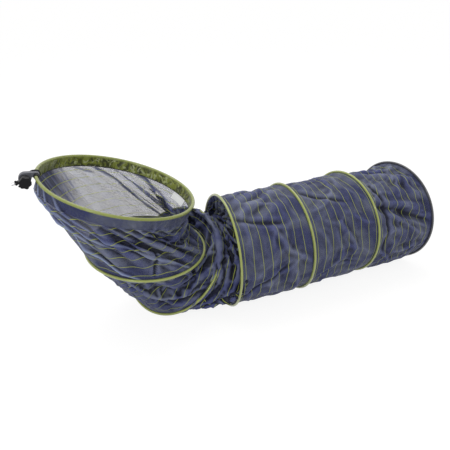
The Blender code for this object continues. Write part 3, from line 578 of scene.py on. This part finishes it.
def crumpled(number, angle, share, radius, length):
    """How far the small creases stand out at each point, with gathers where the net is sewn to the mouth."""
    size = CREASE_SIZE[number - 1]
    depth = np.zeros(angle.shape)
    for place, turn in np.ndenumerate(np.radians(angle)):
        x, y = math.cos(turn) * radius, math.sin(turn) * radius
        spot = Vector((x, y, share[place] * length + number * 0.7)) / size
        spot += noise.noise_vector(spot * 0.6) * 0.7
        ridge = 0.5 - 2.2 * abs(noise.noise(spot))
        fine = 0.4 - 2.0 * abs(noise.noise(spot / FINE_SIZE + Vector((7.0, 3.0, 1.0))))
        depth[place] = ridge + FINE_SHARE[number - 1] * fine
        if number == 1 and share[place] < GATHER_SHARE:
            puckered = Vector((x, y, share[place] * 0.03)) / GATHER_SIZE
            gathered = GATHER_DEPTH / CREASE_DEPTH[0] * (GATHER_SHARE - share[place]) / GATHER_SHARE
            depth[place] += gathered * (0.4 - abs(noise.noise(puckered)))
    return depth * CREASE_DEPTH[number - 1]


def clear_of_tape(grid, rows, place):
    """Draws the rows next to a hoop in until they leave its tape from the inside."""
    turned = np.array(place.to_3x3())
    local = (grid[rows] - np.array(place.translation)) @ turned
    reach = np.hypot(local[..., 0], local[..., 1])
    most = NET_RADIUS + np.maximum(np.abs(local[..., 2]) - TAPE_CLEAR, 0.0)
    local[..., :2] *= (np.minimum(reach, most) / reach)[..., None]
    grid[rows] = local @ turned.T + np.array(place.translation)


def creased(name, grid, number, radius, length, first_share=0.0, last_share=1.0):
    """A net's mesh from its settled rows of points, with its creases and folds, and the painted shade, light and
    highlights that follow them.
    """
    rows, around = grid.shape[:2]
    share, angle = np.meshgrid(np.linspace(first_share, last_share, rows), np.arange(around) * 360.0 / around,
                               indexing="ij")
    fade = np.clip(np.minimum(share, 1 - share) / FADE_SHARE, 0.0, 1.0)
    depth = crumpled(number, angle, share, radius, length)
    dense = np.full(angle.shape, NET_DENSE[number - 1])
    glint = np.zeros(angle.shape)
    if number == 1:
        # the near side and the left end of the wide bay hang doubled, the near side in deeper creases
        fade = np.clip(np.minimum(share + COLLAR_SHARE, 1 - share) / MOUTH_FADE_SHARE, 0.0, 1.0)
        near = np.clip(1.6 - np.abs(wrapped(angle - NEAR_SIDE)) / NEAR_SPREAD, 0.0, 1.0)
        left = np.clip(1.6 - np.abs(angle - LEFT_SIDE) / LEFT_SPREAD, 0.0, 1.0)
        left = left * np.clip(1.3 - 1.5 * share, 0.0, 1.0)
        dense = np.maximum(np.maximum(dense, NEAR_DENSE * near), LEFT_DENSE * left)
        depth *= 0.6 + 0.8 * near
    for middle, spread, peak, height in BULGES.get(number, ()):
        off = np.abs(wrapped(angle - middle)) / spread
        rise = np.where(share < peak, share / peak, (1 - share) / (1 - peak))
        depth += height * np.sin(rise * math.pi / 2) * np.cos(np.clip(off, 0, 1) * math.pi / 2) ** 2
    for route, height, half_width, doubled, shine in FOLDS.get(number, ()):
        off, taper = off_route(angle, share, route, math.radians(radius), length)
        strength = np.clip(1.0 - off / half_width, 0.0, 1.0) * taper
        depth += height * strength
        dense = np.maximum(dense, doubled * np.clip(2.0 * strength, 0.0, 1.0))
        # painted highlight along the fold's ridge, by the fold's last value
        glint = np.maximum(glint, shine * np.clip(1.7 * strength - 0.6, 0.0, 1.0))
    if number == 1:
        # the top lies close to the mouth, and never inside the band and its seam
        depth *= np.clip(0.60 + 4.0 * (share + 0.03), 0.60, 1.0)
        depth = np.maximum(depth, -0.0008 - 0.05 * np.maximum(share, 0.0))
    grid = grid + outward(grid) * (depth * fade)[:, :, None]
    if number > 3:
        clear_of_tape(grid, slice(1, TAPE_ROWS), hoops[CHAIN[number - 1]])
    if last_share > 0.0:
        clear_of_tape(grid, slice(-TAPE_ROWS, -1), hoops[CHAIN[number]])
    grid[:, :, 2] = np.maximum(grid[:, :, 2], ABOVE_GROUND)
    # painted shade and light: each point's bend against the mean of its neighbours, kept as the crease attribute that
    # darkens the colour in hollows and lightens it on ridges
    padded = np.concatenate((grid[:1], grid, grid[-1:]))
    beside = (padded[:-2] + padded[2:] + np.roll(grid, 1, axis=1) + np.roll(grid, -1, axis=1)) / 4
    bend = ((grid - beside) * outward(grid)).sum(axis=2) / FULL_SHADE_BEND
    bend[0], bend[-1] = bend[1], bend[-2]
    mesh = tube_mesh(name, grid, 2 * math.pi * radius, length * (last_share - first_share))
    for part, values in (("crease", np.clip(evened(bend), -1, 1)), ("dense", dense), ("glint", glint)):
        mesh.attributes.new(part, "FLOAT", "POINT").data.foreach_set("value", values.ravel().astype(np.float32))
    return mesh


def settled_rows(panel, number):
    """The rows of points of a settled net, twice as close as they were simulated, and smoothed in the straight bays."""
    points = np.empty(len(panel.data.vertices) * 3)
    panel.data.vertices.foreach_get("co", points)
    grid = refined(points.reshape(NET_ALONG + 1, NET_AROUND, 3))
    for _ in range(SMOOTHING if number > 3 else 0):
        grid[1:-1] = evened(grid)[1:-1]
    return grid


# Collar: the top of the first bay's net, sewn up outside the mouth's band as far as the rod. It is one cloth
# with the bay below it, so the bay's folds run up through it. Only plain mesh shows on it, between stripes.
COLLAR_TOP = -0.0050
COLLAR_RINGS = 8
COLLAR_MAP_SCALE = 0.28
COLLAR_MAP_START = 0.0215
collar_rows = []
for ring in range(COLLAR_RINGS + 1):
    height = COLLAR_TOP + (NET_TOP - COLLAR_TOP) * ring / COLLAR_RINGS
    points = hoop_loop(hoops["mouth"], MOUTH_NET_RADIUS, height, 0.0, 2 * NET_AROUND)
    collar_rows.append([tuple(point) for point in points])
collar_mesh = creased("netting_collar", np.array(collar_rows), 1, (MOUTH_NET_RADIUS + NET_RADIUS) / 2,
                      NET_CUTS[0], -COLLAR_SHARE, 0.0)
for loop in collar_mesh.uv_layers["cloth"].data:
    loop.uv = (loop.uv[0], loop.uv[1] * COLLAR_MAP_SCALE + COLLAR_MAP_START)
net_collar = placed("netting_collar", collar_mesh)
net_collar.data.materials.append(mouth_net)
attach(net_collar, "mouth")

# Net tubes: the six bays, in the order of the chain, each creased, given its netting and set in world place, with its
# solid hidden. The ends each would stretch between are worked out, nearer the lower hoop in the first three, but the
# nets are not bound to the hoops and do not move with them.
PANEL_BODIES = (("ring_2", "mouth"), ("ring_3", "ring_2"), ("ring_4", "ring_3"), ("ring_4", "ring_5"),
                ("ring_5", "ring_6"), ("ring_6", "end_ring"))
BLEND_REACH = {1: 0.165, 2: 0.010, 3: 0.010}
for number, (panel, (lower_body, upper_body)) in enumerate(zip(panels, PANEL_BODIES), start=1):
    upper_radius = MOUTH_NET_RADIUS if number == 1 else NET_RADIUS
    panel.data = creased(panel.name, settled_rows(panel, number), number, (upper_radius + NET_RADIUS) / 2,
                         NET_CUTS[number - 1])
    panel.data.materials.append(mouth_net if number == 1 else tube_net)
    start, end = hoops[lower_body].translation, hoops[upper_body].translation
    if number in BLEND_REACH:
        end = start + hoops[lower_body].col[2].to_3d() * BLEND_REACH[number]
    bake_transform(panel)
    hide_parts(f"net_{number}")

# Sewn tape: each sprung hoop runs in a fold of ribbed green tape, sewn round the outside of the net. The
# end hoop's tape is dark. The fold is a swept section with its slot towards the net.
TAPE_CENTRE_RADIUS = 0.19506
TAPE_OUTER = 0.0042
TAPE_INNER = 0.0034
TAPE_OPEN_ANGLE = 48.0
TAPE_AROUND = 192
TAPE_POINTS = 11
SHARP_EDGE = math.radians(50.0)


def tape_section():
    span = math.radians(360.0 - TAPE_OPEN_ANGLE)
    points = []
    for count, radius, way in ((TAPE_POINTS, TAPE_OUTER, 1), (TAPE_POINTS, TAPE_INNER, -1)):
        for step in range(count):
            a = way * span * (step / (count - 1) - 0.5)
            points.append((radius * math.cos(a), radius * math.sin(a)))
    return points


def swept(name, section, place, radius, around, start=0.0, share=1.0):
    """A section of (radial, height) points carried round a hoop, with a map of metres round and across it."""
    closed = share >= 1.0
    stations = around if closed else around + 1
    points, faces = [], []
    for k in range(stations):
        a = start + 2 * math.pi * share * k / around
        points.extend(hoop_point(place, radius + radial, a, height) for radial, height in section)
    count = len(section)
    for k in range(around):
        row, after = k * count, ((k + 1) % stations) * count
        for i in range(count):
            n = (i + 1) % count
            faces.append((row + i, row + n, after + n, after + i))
    if not closed:
        faces.append(tuple(range(count)))
        faces.append(tuple(reversed(range((stations - 1) * count, stations * count))))
    mesh = bpy.data.meshes.new(name)
    mesh.from_pydata(points, [], faces)
    tape_map = mesh.uv_layers.new(name="tape")
    across = [0.0]
    for (r0, h0), (r1, h1) in zip(section, section[1:] + section[:1]):
        across.append(across[-1] + math.hypot(r1 - r0, h1 - h0))
    for polygon in mesh.polygons[:around * count]:
        k, i = divmod(polygon.index, count)
        corners = ((k, i), (k, i + 1), (k + 1, i + 1), (k + 1, i))
        for loop, (ck, ci) in zip(polygon.loop_indices, corners):
            tape_map.data[loop].uv = (2 * math.pi * share * ck / around * radius, across[ci])
    fixed = bmesh.new()
    fixed.from_mesh(mesh)
    bmesh.ops.recalc_face_normals(fixed, faces=fixed.faces)
    fixed.to_mesh(mesh)
    fixed.free()
    mesh.shade_smooth()
    mesh.set_sharp_from_angle(angle=SHARP_EDGE)
    return placed(name, mesh)


def tape_material(name, colour, dark, roughness, coat=0.9):
    """Woven tape: fine ribs across it and a slight change of tone along it."""
    made, add = node_tree(name)
    lie = add("ShaderNodeUVMap", uv_map="tape").outputs[0]
    ribs = add("ShaderNodeTexWave", [("Vector", lie), ("Scale", 210.0), ("Distortion", 0.4)], bands_direction="X")
    tone = mixed(add, clouded(add, lie, 60.0, 3.0), dark, colour)
    surfaced(add, tone, raised(add, ribs.outputs["Fac"], 0.45, 0.0005), roughness, ("Sheen Weight", 0.15),
             ("Coat Weight", coat), ("Coat Roughness", 0.14))
    return made


# Stitches: short plump threads laid round a hoop at even steps, used on the tapes, the seam and the tag.
STITCH_THICK = 0.0007
STITCH_LENGTH = 0.0026
STITCH_COUNT = 300
STITCH_INSET = 0.0029
STITCH_HEIGHT = 0.0031
STITCH_WOBBLE = 0.10
FULL_TURN = 2 * math.pi


def stitch_nodes():
    """Geometry Nodes that lay stitches along an arc round the group's own Z, leaning off the arc by a slant."""
    group = bpy.data.node_groups.new("stitches", "GeometryNodeTree")
    group.interface.new_socket("Geometry", in_out="OUTPUT", socket_type="NodeSocketGeometry")
    for name in ("Radius", "Height", "Start", "Sweep", "Length", "Slant"):
        group.interface.new_socket(name, in_out="INPUT", socket_type="NodeSocketFloat")
    group.interface.new_socket("Count", in_out="INPUT", socket_type="NodeSocketInt")
    group.interface.new_socket("Material", in_out="INPUT", socket_type="NodeSocketMaterial")
    add = adder(group)
    given = add("NodeGroupInput").outputs
    line = add("GeometryNodeMeshLine", [("Count", given["Count"])])
    last = worked(add, "SUBTRACT", given["Count"], 1.0)
    share = worked(add, "DIVIDE", add("GeometryNodeInputIndex").outputs[0], last)
    turn = worked(add, "MULTIPLY_ADD", share, given["Sweep"], given["Start"])
    x = worked(add, "MULTIPLY", worked(add, "COSINE", turn), given["Radius"])
    y = worked(add, "MULTIPLY", worked(add, "SINE", turn), given["Radius"])
    spot = add("ShaderNodeCombineXYZ", [(0, x), (1, y), (2, given["Height"])])
    laid = add("GeometryNodeSetPosition", [("Geometry", line.outputs[0]), ("Position", spot.outputs[0])])
    ball = add("GeometryNodeMeshUVSphere", [("Segments", 8), ("Rings", 6), ("Radius", 0.5)])
    size = add("ShaderNodeCombineXYZ", [(0, STITCH_THICK), (1, given["Length"]), (2, STITCH_THICK)])
    thread = add("GeometryNodeTransform", [("Geometry", ball.outputs[0]), ("Scale", size.outputs[0])])
    wobble = add("FunctionNodeRandomValue", [(2, -STITCH_WOBBLE), (3, STITCH_WOBBLE), ("Seed", 7)],
                 data_type="FLOAT")
    lean = worked(add, "ADD", given["Slant"], wobble.outputs[1])
    facing = add("ShaderNodeCombineXYZ", [(0, lean), (2, turn)])
    stood = add("GeometryNodeInstanceOnPoints", [("Points", laid.outputs[0]), ("Instance", thread.outputs[0]),
                                                 ("Rotation", facing.outputs[0])])
    real = add("GeometryNodeRealizeInstances", [("Geometry", stood.outputs[0])])
    rounded = add("GeometryNodeSetShadeSmooth", [("Geometry", real.outputs[0])])
    dyed = add("GeometryNodeSetMaterial", [("Geometry", rounded.outputs[0]), ("Material", given["Material"])])
    add("NodeGroupOutput", [(0, dyed.outputs[0])])
    return group


stitching = stitch_nodes()


def stitches(name, place, thread, radius, height, count, length, slant=0.0, start=0.0, sweep=FULL_TURN):
    """A row of stitches round a hoop's place, as a plain mesh."""
    holder = placed(f"{name}_pattern", bpy.data.meshes.new(f"{name}_pattern"))
    pattern = holder.modifiers.new("stitches", "NODES")
    pattern.node_group = stitching
    if sweep == FULL_TURN:
        sweep *= (count - 1) / count
    values = {"Radius": radius, "Height": height, "Start": start, "Sweep": sweep, "Length": length,
              "Slant": slant, "Count": count, "Material": thread}
    for item in stitching.interface.items_tree:
        if item.in_out == "INPUT":
            pattern[item.identifier] = values[item.name]
    graph = bpy.context.evaluated_depsgraph_get()
    mesh = bpy.data.meshes.new_from_object(holder.evaluated_get(graph))
    bpy.data.objects.remove(holder)
    mesh.transform(place)
    return placed(name, mesh)


def plain_material(name, colour, roughness, metallic=0.0, grain=400.0, bump=0.15, gloss=0.5):
    """A moulded, coated or metal finish with a fine grain in its surface and a slight change of tone."""
    made, add = node_tree(name)
    lie = add("ShaderNodeTexCoord").outputs["Object"]
    fine = clouded(add, lie, grain, 3.0)
    broad = clouded(add, lie, grain / 12, 2.0)
    tone = mixed(add, broad, (*(0.78 * c for c in colour), 1.0), (*(min(1.22 * c, 1.0) for c in colour), 1.0))
    rough = ranged(add, broad, 0.0, 1.0, roughness * 0.85, min(roughness * 1.2, 1.0))
    surfaced(add, tone, raised(add, fine, bump, 0.0003), rough, ("Metallic", metallic),
             ("Specular IOR Level", gloss))
    return made


green_thread = plain_material("green_thread", (0.16, 0.20, 0.02), 0.6)
dark_thread = plain_material("dark_thread", (0.035, 0.035, 0.045), 0.6)
white_thread = plain_material("white_thread", (0.72, 0.72, 0.70), 0.6)

# Folded tapes with their two rows of stitches, one to each sprung hoop.
green_tape = tape_material("green_tape", (0.37, 0.42, 0.075, 1.0), (0.27, 0.31, 0.045, 1.0), 0.30)
dark_tape = tape_material("dark_tape", (0.030, 0.030, 0.042, 1.0), (0.015, 0.015, 0.022, 1.0), 0.42)
for body in CHAIN[1:]:
    tape = swept(f"{body}_folded_tape", tape_section(), hoops[body], TAPE_CENTRE_RADIUS, TAPE_AROUND)
    tape.data.materials.append(dark_tape if body == "end_ring" else green_tape)
    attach(tape, body)
    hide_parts(f"{body}_tape")
    for face, side in (("upper", 1), ("lower", -1)):
        thread = dark_thread if body == "end_ring" else green_thread
        row = stitches(f"{body}_{face}_stitches", hoops[body], thread, TAPE_CENTRE_RADIUS - STITCH_INSET,
                       side * STITCH_HEIGHT, STITCH_COUNT, STITCH_LENGTH)
        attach(row, body)

# End panel: a flat disc of the same netting, sewn into the end hoop and slightly sagging.
END_RINGS = 24
END_BELLY = 0.012
END_DROP = -0.001
END_RIPPLE = 0.0012


def end_panel():
    place = hoops["end_ring"]
    points = [place @ Vector((0.0, 0.0, END_DROP - END_BELLY))]
    for ring in range(1, END_RINGS + 1):
        share = ring / END_RINGS
        for k in range(NET_AROUND):
            a = 2 * math.pi * k / NET_AROUND
            belly = END_BELLY * (1 - share**2) + END_RIPPLE * math.sin(6 * a) * share * (1 - share)
            points.append(hoop_point(place, NET_RADIUS * share, a, END_DROP - belly))
    faces = [(0, 1 + (k + 1) % NET_AROUND, 1 + k) for k in range(NET_AROUND)]
    for ring in range(END_RINGS - 1):
        row, after = 1 + ring * NET_AROUND, 1 + (ring + 1) * NET_AROUND
        for k in range(NET_AROUND):
            n = (k + 1) % NET_AROUND
            faces.append((row + k, row + n, after + n, after + k))
    mesh = bpy.data.meshes.new("end_netting")
    mesh.from_pydata(points, [], faces)
    cloth_map = mesh.uv_layers.new(name="cloth")
    flat = place.inverted()
    for polygon in mesh.polygons:
        for loop in polygon.loop_indices:
            local = flat @ mesh.vertices[mesh.loops[loop].vertex_index].co
            cloth_map.data[loop].uv = (local.x, local.y + STRIPE_SPACING / 2)
    mesh.shade_smooth()
    return placed("end_netting", mesh)


end_net = end_panel()
end_net.data.materials.append(tube_net)
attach(end_net, "end_ring")
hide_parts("end_net")

# Mouth band: coated cloth over the alloy rod and down inside the net, wrinkled where it is gathered round
# the hoop, cut away for the tilt block's socket and stitched near its lower edge.
MOUTH_CENTRE_RADIUS = 0.2444
BAND_OUTER = 0.0056
BAND_INNER = 0.0044
BAND_DEPTH = 0.031
BAND_AROUND = 560
BAND_STEPS = 9
BAND_STITCH_DEPTH = 0.0272
WRINKLE_REACH = 0.0034
WRINKLE_START = 0.002
WRINKLE_GROWTH = 0.022
SOCKET_RADIUS = 0.2429
BRACKET_ANGLE = math.radians(195.8)
NOTCH = (0.040, 0.0446, 0.0266)


def band_section():
    """The band's section: outside from its lip over the rod and down to its lower edge, then back up inside."""
    outside, inside = [], []
    for step in range(13):
        a = math.radians(-15.0 + 195.0 * step / 12)
        outside.append((BAND_OUTER * math.cos(a), BAND_OUTER * math.sin(a)))
        inside.append((BAND_INNER * math.cos(a), BAND_INNER * math.sin(a)))
    for step in range(1, BAND_STEPS + 1):
        depth = -BAND_DEPTH * step / BAND_STEPS
        outside.append((-BAND_OUTER, depth))
        inside.append((-BAND_INNER, depth))
    return outside + inside[::-1]


def wrinkle(piece, place):
    """Draws a piece below the mouth's rod in from the true circle, in upright gathers that grow downward."""
    back = place.inverted()
    for vertex in piece.data.vertices:
        local = back @ vertex.co
        depth = min(max((WRINKLE_START - local.z) / WRINKLE_GROWTH, 0.0), 1.0)
        round_about = Vector((local.x, local.y, 0.0)).normalized()
        spot = Vector((round_about.x * 13.0, round_about.y * 13.0, local.z * 9.0))
        height = noise.noise(spot) + 0.6 * noise.noise(spot * 2.3 + Vector((5.0, 1.0, 2.0)))
        vertex.co = place @ (local + round_about * (WRINKLE_REACH * depth * min(height - 0.3, 0.0)))


band = swept("mouth_cloth_band", band_section(), hoops["mouth"], MOUTH_CENTRE_RADIUS, BAND_AROUND)
wrinkle(band, hoops["mouth"])
socket_place = hoops["mouth"] @ Matrix.Rotation(BRACKET_ANGLE, 4, "Z")
socket_place = socket_place @ Matrix.Translation((SOCKET_RADIUS, 0.0, 0.0))
bpy.ops.mesh.primitive_cube_add(size=1.0)
notch = bpy.context.active_object
notch.data.transform(socket_place @ Matrix.Diagonal((*NOTCH, 1.0)))
opening = band.modifiers.new("notch", "BOOLEAN")
opening.operation = "DIFFERENCE"
opening.object = notch
graph = bpy.context.evaluated_depsgraph_get()
band.data = bpy.data.meshes.new_from_object(band.evaluated_get(graph))
band.modifiers.clear()
bpy.data.objects.remove(notch)


def coated_material(name, colour, dark, shine):
    """Coated cloth: a glossy skin over a plain weave, creased inside with painted shade in the creases and thin painted
    highlight lines, smooth near the block.
    """
    made, add = node_tree(name)
    lie = add("ShaderNodeUVMap", uv_map="tape").outputs[0]
    weave = add("ShaderNodeTexChecker", [("Vector", lie), ("Scale", 1400.0)])
    stretch = add("ShaderNodeMapping", [("Vector", lie), ("Scale", (0.85, 0.70, 1.0))]).outputs[0]
    creases = clouded(add, stretch, 56.0, 4.0, 1.6)
    sides = add("ShaderNodeSeparateXYZ", [(0, lie)]).outputs
    from_block = worked(add, "ABSOLUTE", worked(add, "SUBTRACT", sides[0], BRACKET_ANGLE * MOUTH_CENTRE_RADIUS))
    inside = ranged(add, sides[1], 0.017, 0.024, 0.0, ranged(add, from_block, 0.07, 0.21))
    # painted shade: inside the band the colour goes dark where the crease noise, which also raises the bump, is low
    pucker_shade = ranged(add, creases, 0.44, 0.58)
    tone = mixed(add, worked(add, "MAXIMUM", pucker_shade, worked(add, "SUBTRACT", 1.0, inside)), dark, colour)
    # painted highlights: thin lines of the pale colour, inside the band only
    lines = ranged(add, clouded(add, stretch, 44.0, 4.0, 2.2), 0.55, 0.64, 0.0, 0.85)
    tone = mixed(add, worked(add, "MULTIPLY", lines, inside), tone, shine)
    soft = raised(add, creases, 1.0, 0.0050)
    cloth = raised(add, weave.outputs["Fac"], 0.12, 0.0002, [("Normal", soft)])
    surfaced(add, tone, cloth, 0.30, ("Coat Weight", 0.5), ("Coat Roughness", 0.18))
    return made


# the dark colour is painted shade for the band's creases, and the pale one is a painted highlight
coated = coated_material("green_coated_cloth", (0.23, 0.265, 0.035, 1.0), (0.050, 0.056, 0.013, 1.0),
                         (0.52, 0.56, 0.28, 1.0))
band.data.materials.clear()
band.data.materials.append(coated)
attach(band, "mouth")
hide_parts("mouth_band")

# Seam binding: a dark woven strip under the band where the net is sewn on, with a zigzag of thread.
SEAM_TOP = -0.0313
SEAM_HEIGHT = 0.0030
SEAM_THICK = 0.0018
SEAM_INSET = 0.0043
SEAM_ROUND = 0.0006
SEAM_AROUND = 320
SEAM_STITCHES = 420
SEAM_STITCH_LENGTH = 0.0027
ZIGZAG_DEPTH = 0.0016
ZIGZAG_SLANT = 0.75
seam_section = []
for corner in range(4):
    for step in range(3):
        a = math.radians(90.0 * corner + 45.0 * step)
        middle_r = -SEAM_INSET - SEAM_THICK / 2
        middle_r += (SEAM_THICK / 2 - SEAM_ROUND) * (1 if corner in (0, 3) else -1)
        middle_h = SEAM_TOP - SEAM_HEIGHT / 2 + (SEAM_HEIGHT / 2 - SEAM_ROUND) * (1 if corner < 2 else -1)
        seam_section.append((middle_r + SEAM_ROUND * math.cos(a), middle_h + SEAM_ROUND * math.sin(a)))
binding = swept("seam_binding_strip", seam_section, hoops["mouth"], MOUTH_CENTRE_RADIUS, SEAM_AROUND)
seam_weave = tape_material("seam_weave", (0.012, 0.012, 0.016, 1.0), (0.006, 0.006, 0.008, 1.0), 0.7, 0.0)
binding.data.materials.append(seam_weave)
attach(binding, "mouth")
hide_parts("mouth_seam")
SEWN_ROWS = (("seam_zig", SEAM_TOP - ZIGZAG_DEPTH, ZIGZAG_SLANT, dark_thread, "seam_binding"),
             ("seam_zag", SEAM_TOP - ZIGZAG_DEPTH, -ZIGZAG_SLANT, dark_thread, "seam_binding"),
             ("band_stitches", -BAND_STITCH_DEPTH, 0.0, green_thread, "green_band"))
for name, height, slant, thread, slot in SEWN_ROWS:
    inset = BAND_OUTER if name == "band_stitches" else SEAM_INSET + SEAM_THICK
    row = stitches(name, hoops["mouth"], thread, MOUTH_CENTRE_RADIUS - inset, height, SEAM_STITCHES,
                   SEAM_STITCH_LENGTH, slant)
    if name == "band_stitches":
        wrinkle(row, hoops["mouth"])
    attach(row, "mouth")

# Tag: a bare white woven label, sewn below the seam and leaning inward, drawn as a thin strip curled slightly at its
# lower edge; its fold under at the top edge is not drawn.
TAG_LEAN = math.radians(22.0)
TAG_MIDDLE = math.radians(31.0)
TAG_INSET = 0.0046
TAG_TOP = -0.0346
TAG_WIDTH = 0.075
TAG_HEIGHT = 0.025
TAG_THICK = 0.0008
TAG_CURL = 0.0012
TAG_RADIUS = 0.2401
TAG_STEPS = 10
tag_section = []
for side, steps in ((0.0, range(TAG_STEPS + 1)), (-TAG_THICK, range(TAG_STEPS, -1, -1))):
    for step in steps:
        down = TAG_HEIGHT * step / TAG_STEPS
        curl = TAG_CURL * (step / TAG_STEPS) ** 3
        tag_section.append((-TAG_INSET + side - down * math.sin(TAG_LEAN) + curl,
                            TAG_TOP - down * math.cos(TAG_LEAN)))
tag_half = TAG_WIDTH / 2 / TAG_RADIUS
tag_start = TAG_MIDDLE - tag_half
tag = swept("bare_tag", tag_section, hoops["mouth"], MOUTH_CENTRE_RADIUS, 60, tag_start,
            2 * tag_half / (2 * math.pi))


def tag_material():
    """White woven ribbon: satin face with fine cross threads and a faint soft crease."""
    made, add = node_tree("white_tag")
    lie = add("ShaderNodeUVMap", uv_map="tape").outputs[0]
    threads = add("ShaderNodeTexWave", [("Vector", lie), ("Scale", 900.0)], bands_direction="Y")
    crease = clouded(add, lie, 55.0, 2.0)
    tone = mixed(add, crease, (0.84, 0.84, 0.83, 1.0), (0.96, 0.96, 0.95, 1.0))
    soft = raised(add, crease, 0.3, 0.0012)
    woven = raised(add, threads.outputs["Fac"], 0.25, 0.0002, [("Normal", soft)])
    surfaced(add, tone, woven, 0.5, ("Sheen Weight", 0.2))
    return made


tag.data.materials.append(tag_material())
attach(tag, "mouth")
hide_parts("label_tag")
row = stitches("tag_stitches", hoops["mouth"], white_thread,
               MOUTH_CENTRE_RADIUS - TAG_INSET - TAG_THICK - 0.0008, TAG_TOP - 0.0022, 26, 0.0022, 0.0,
               tag_start + 0.01, 2 * tag_half - 0.02)
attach(row, "mouth")

# Tilt block, wires, ferrules and rod: moulded nylon, steel, brass and alloy pieces, shown from the solids with
# eased edges. The knob, arm and backplate are glass-filled nylon with a fine grain.
FINISHES = {
    "black_nylon": plain_material("black_nylon", (0.006, 0.006, 0.007), 0.45, bump=0.35, grain=900.0, gloss=0.16),
    "grey_nylon": plain_material("grey_nylon", (0.125, 0.128, 0.145), 0.50, bump=0.35, grain=900.0, gloss=0.4),
    "grip_rubber": plain_material("grip_rubber", (0.014, 0.014, 0.014), 0.85, bump=0.3, grain=700.0),
    "screw_steel": plain_material("screw_steel", (0.52, 0.52, 0.53), 0.28, 1.0, 1200.0, 0.08),
    "alloy_rod": plain_material("alloy_rod", (0.60, 0.61, 0.62), 0.34, 1.0, 900.0, 0.10),
    "spring_wire": plain_material("spring_wire", (0.42, 0.42, 0.43), 0.30, 1.0, 900.0, 0.08),
    "insert_brass": plain_material("insert_brass", (0.64, 0.46, 0.19), 0.30, 1.0, 900.0, 0.08),
}
FINISHES["ferrule_metal"] = FINISHES["insert_brass"]
EASED = {"hoop_socket": 0.0012, "tilt_arm": 0.0014, "arm_backplate": 0.0007, "stud_block": 0.0010,
         "tilt_knob": 0.0016, "lock_ring": 0.0005, "upper_arm_screw": 0.0003, "lower_arm_screw": 0.0003,
         "bolt_washer": 0.0003, "knob_washer": 0.0003, "pinch_screw": 0.0003, "pivot_bolt": 0.0005, "stud": 0.0005,
         "knob_insert": 0.0003, "grip_washer": 0.0003, "mouth_hoop": 0.0}
EASED_EDGE = math.radians(35.0)
WELD_REACH = 0.00002
for name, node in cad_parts.items():
    for slot in node.material_slots:
        finish_name = slot.material.name.split(".")[0] if slot.material else ""
        if finish_name in FINISHES:
            slot.material = FINISHES[finish_name]
    if name in EASED:
        weld = node.modifiers.new("weld", "WELD")
        weld.merge_threshold = WELD_REACH
        if EASED[name] > 0.0:
            ease = node.modifiers.new("ease", "BEVEL")
            ease.width = EASED[name]
            ease.segments = 3
            ease.limit_method = "ANGLE"
            ease.angle_limit = EASED_EDGE
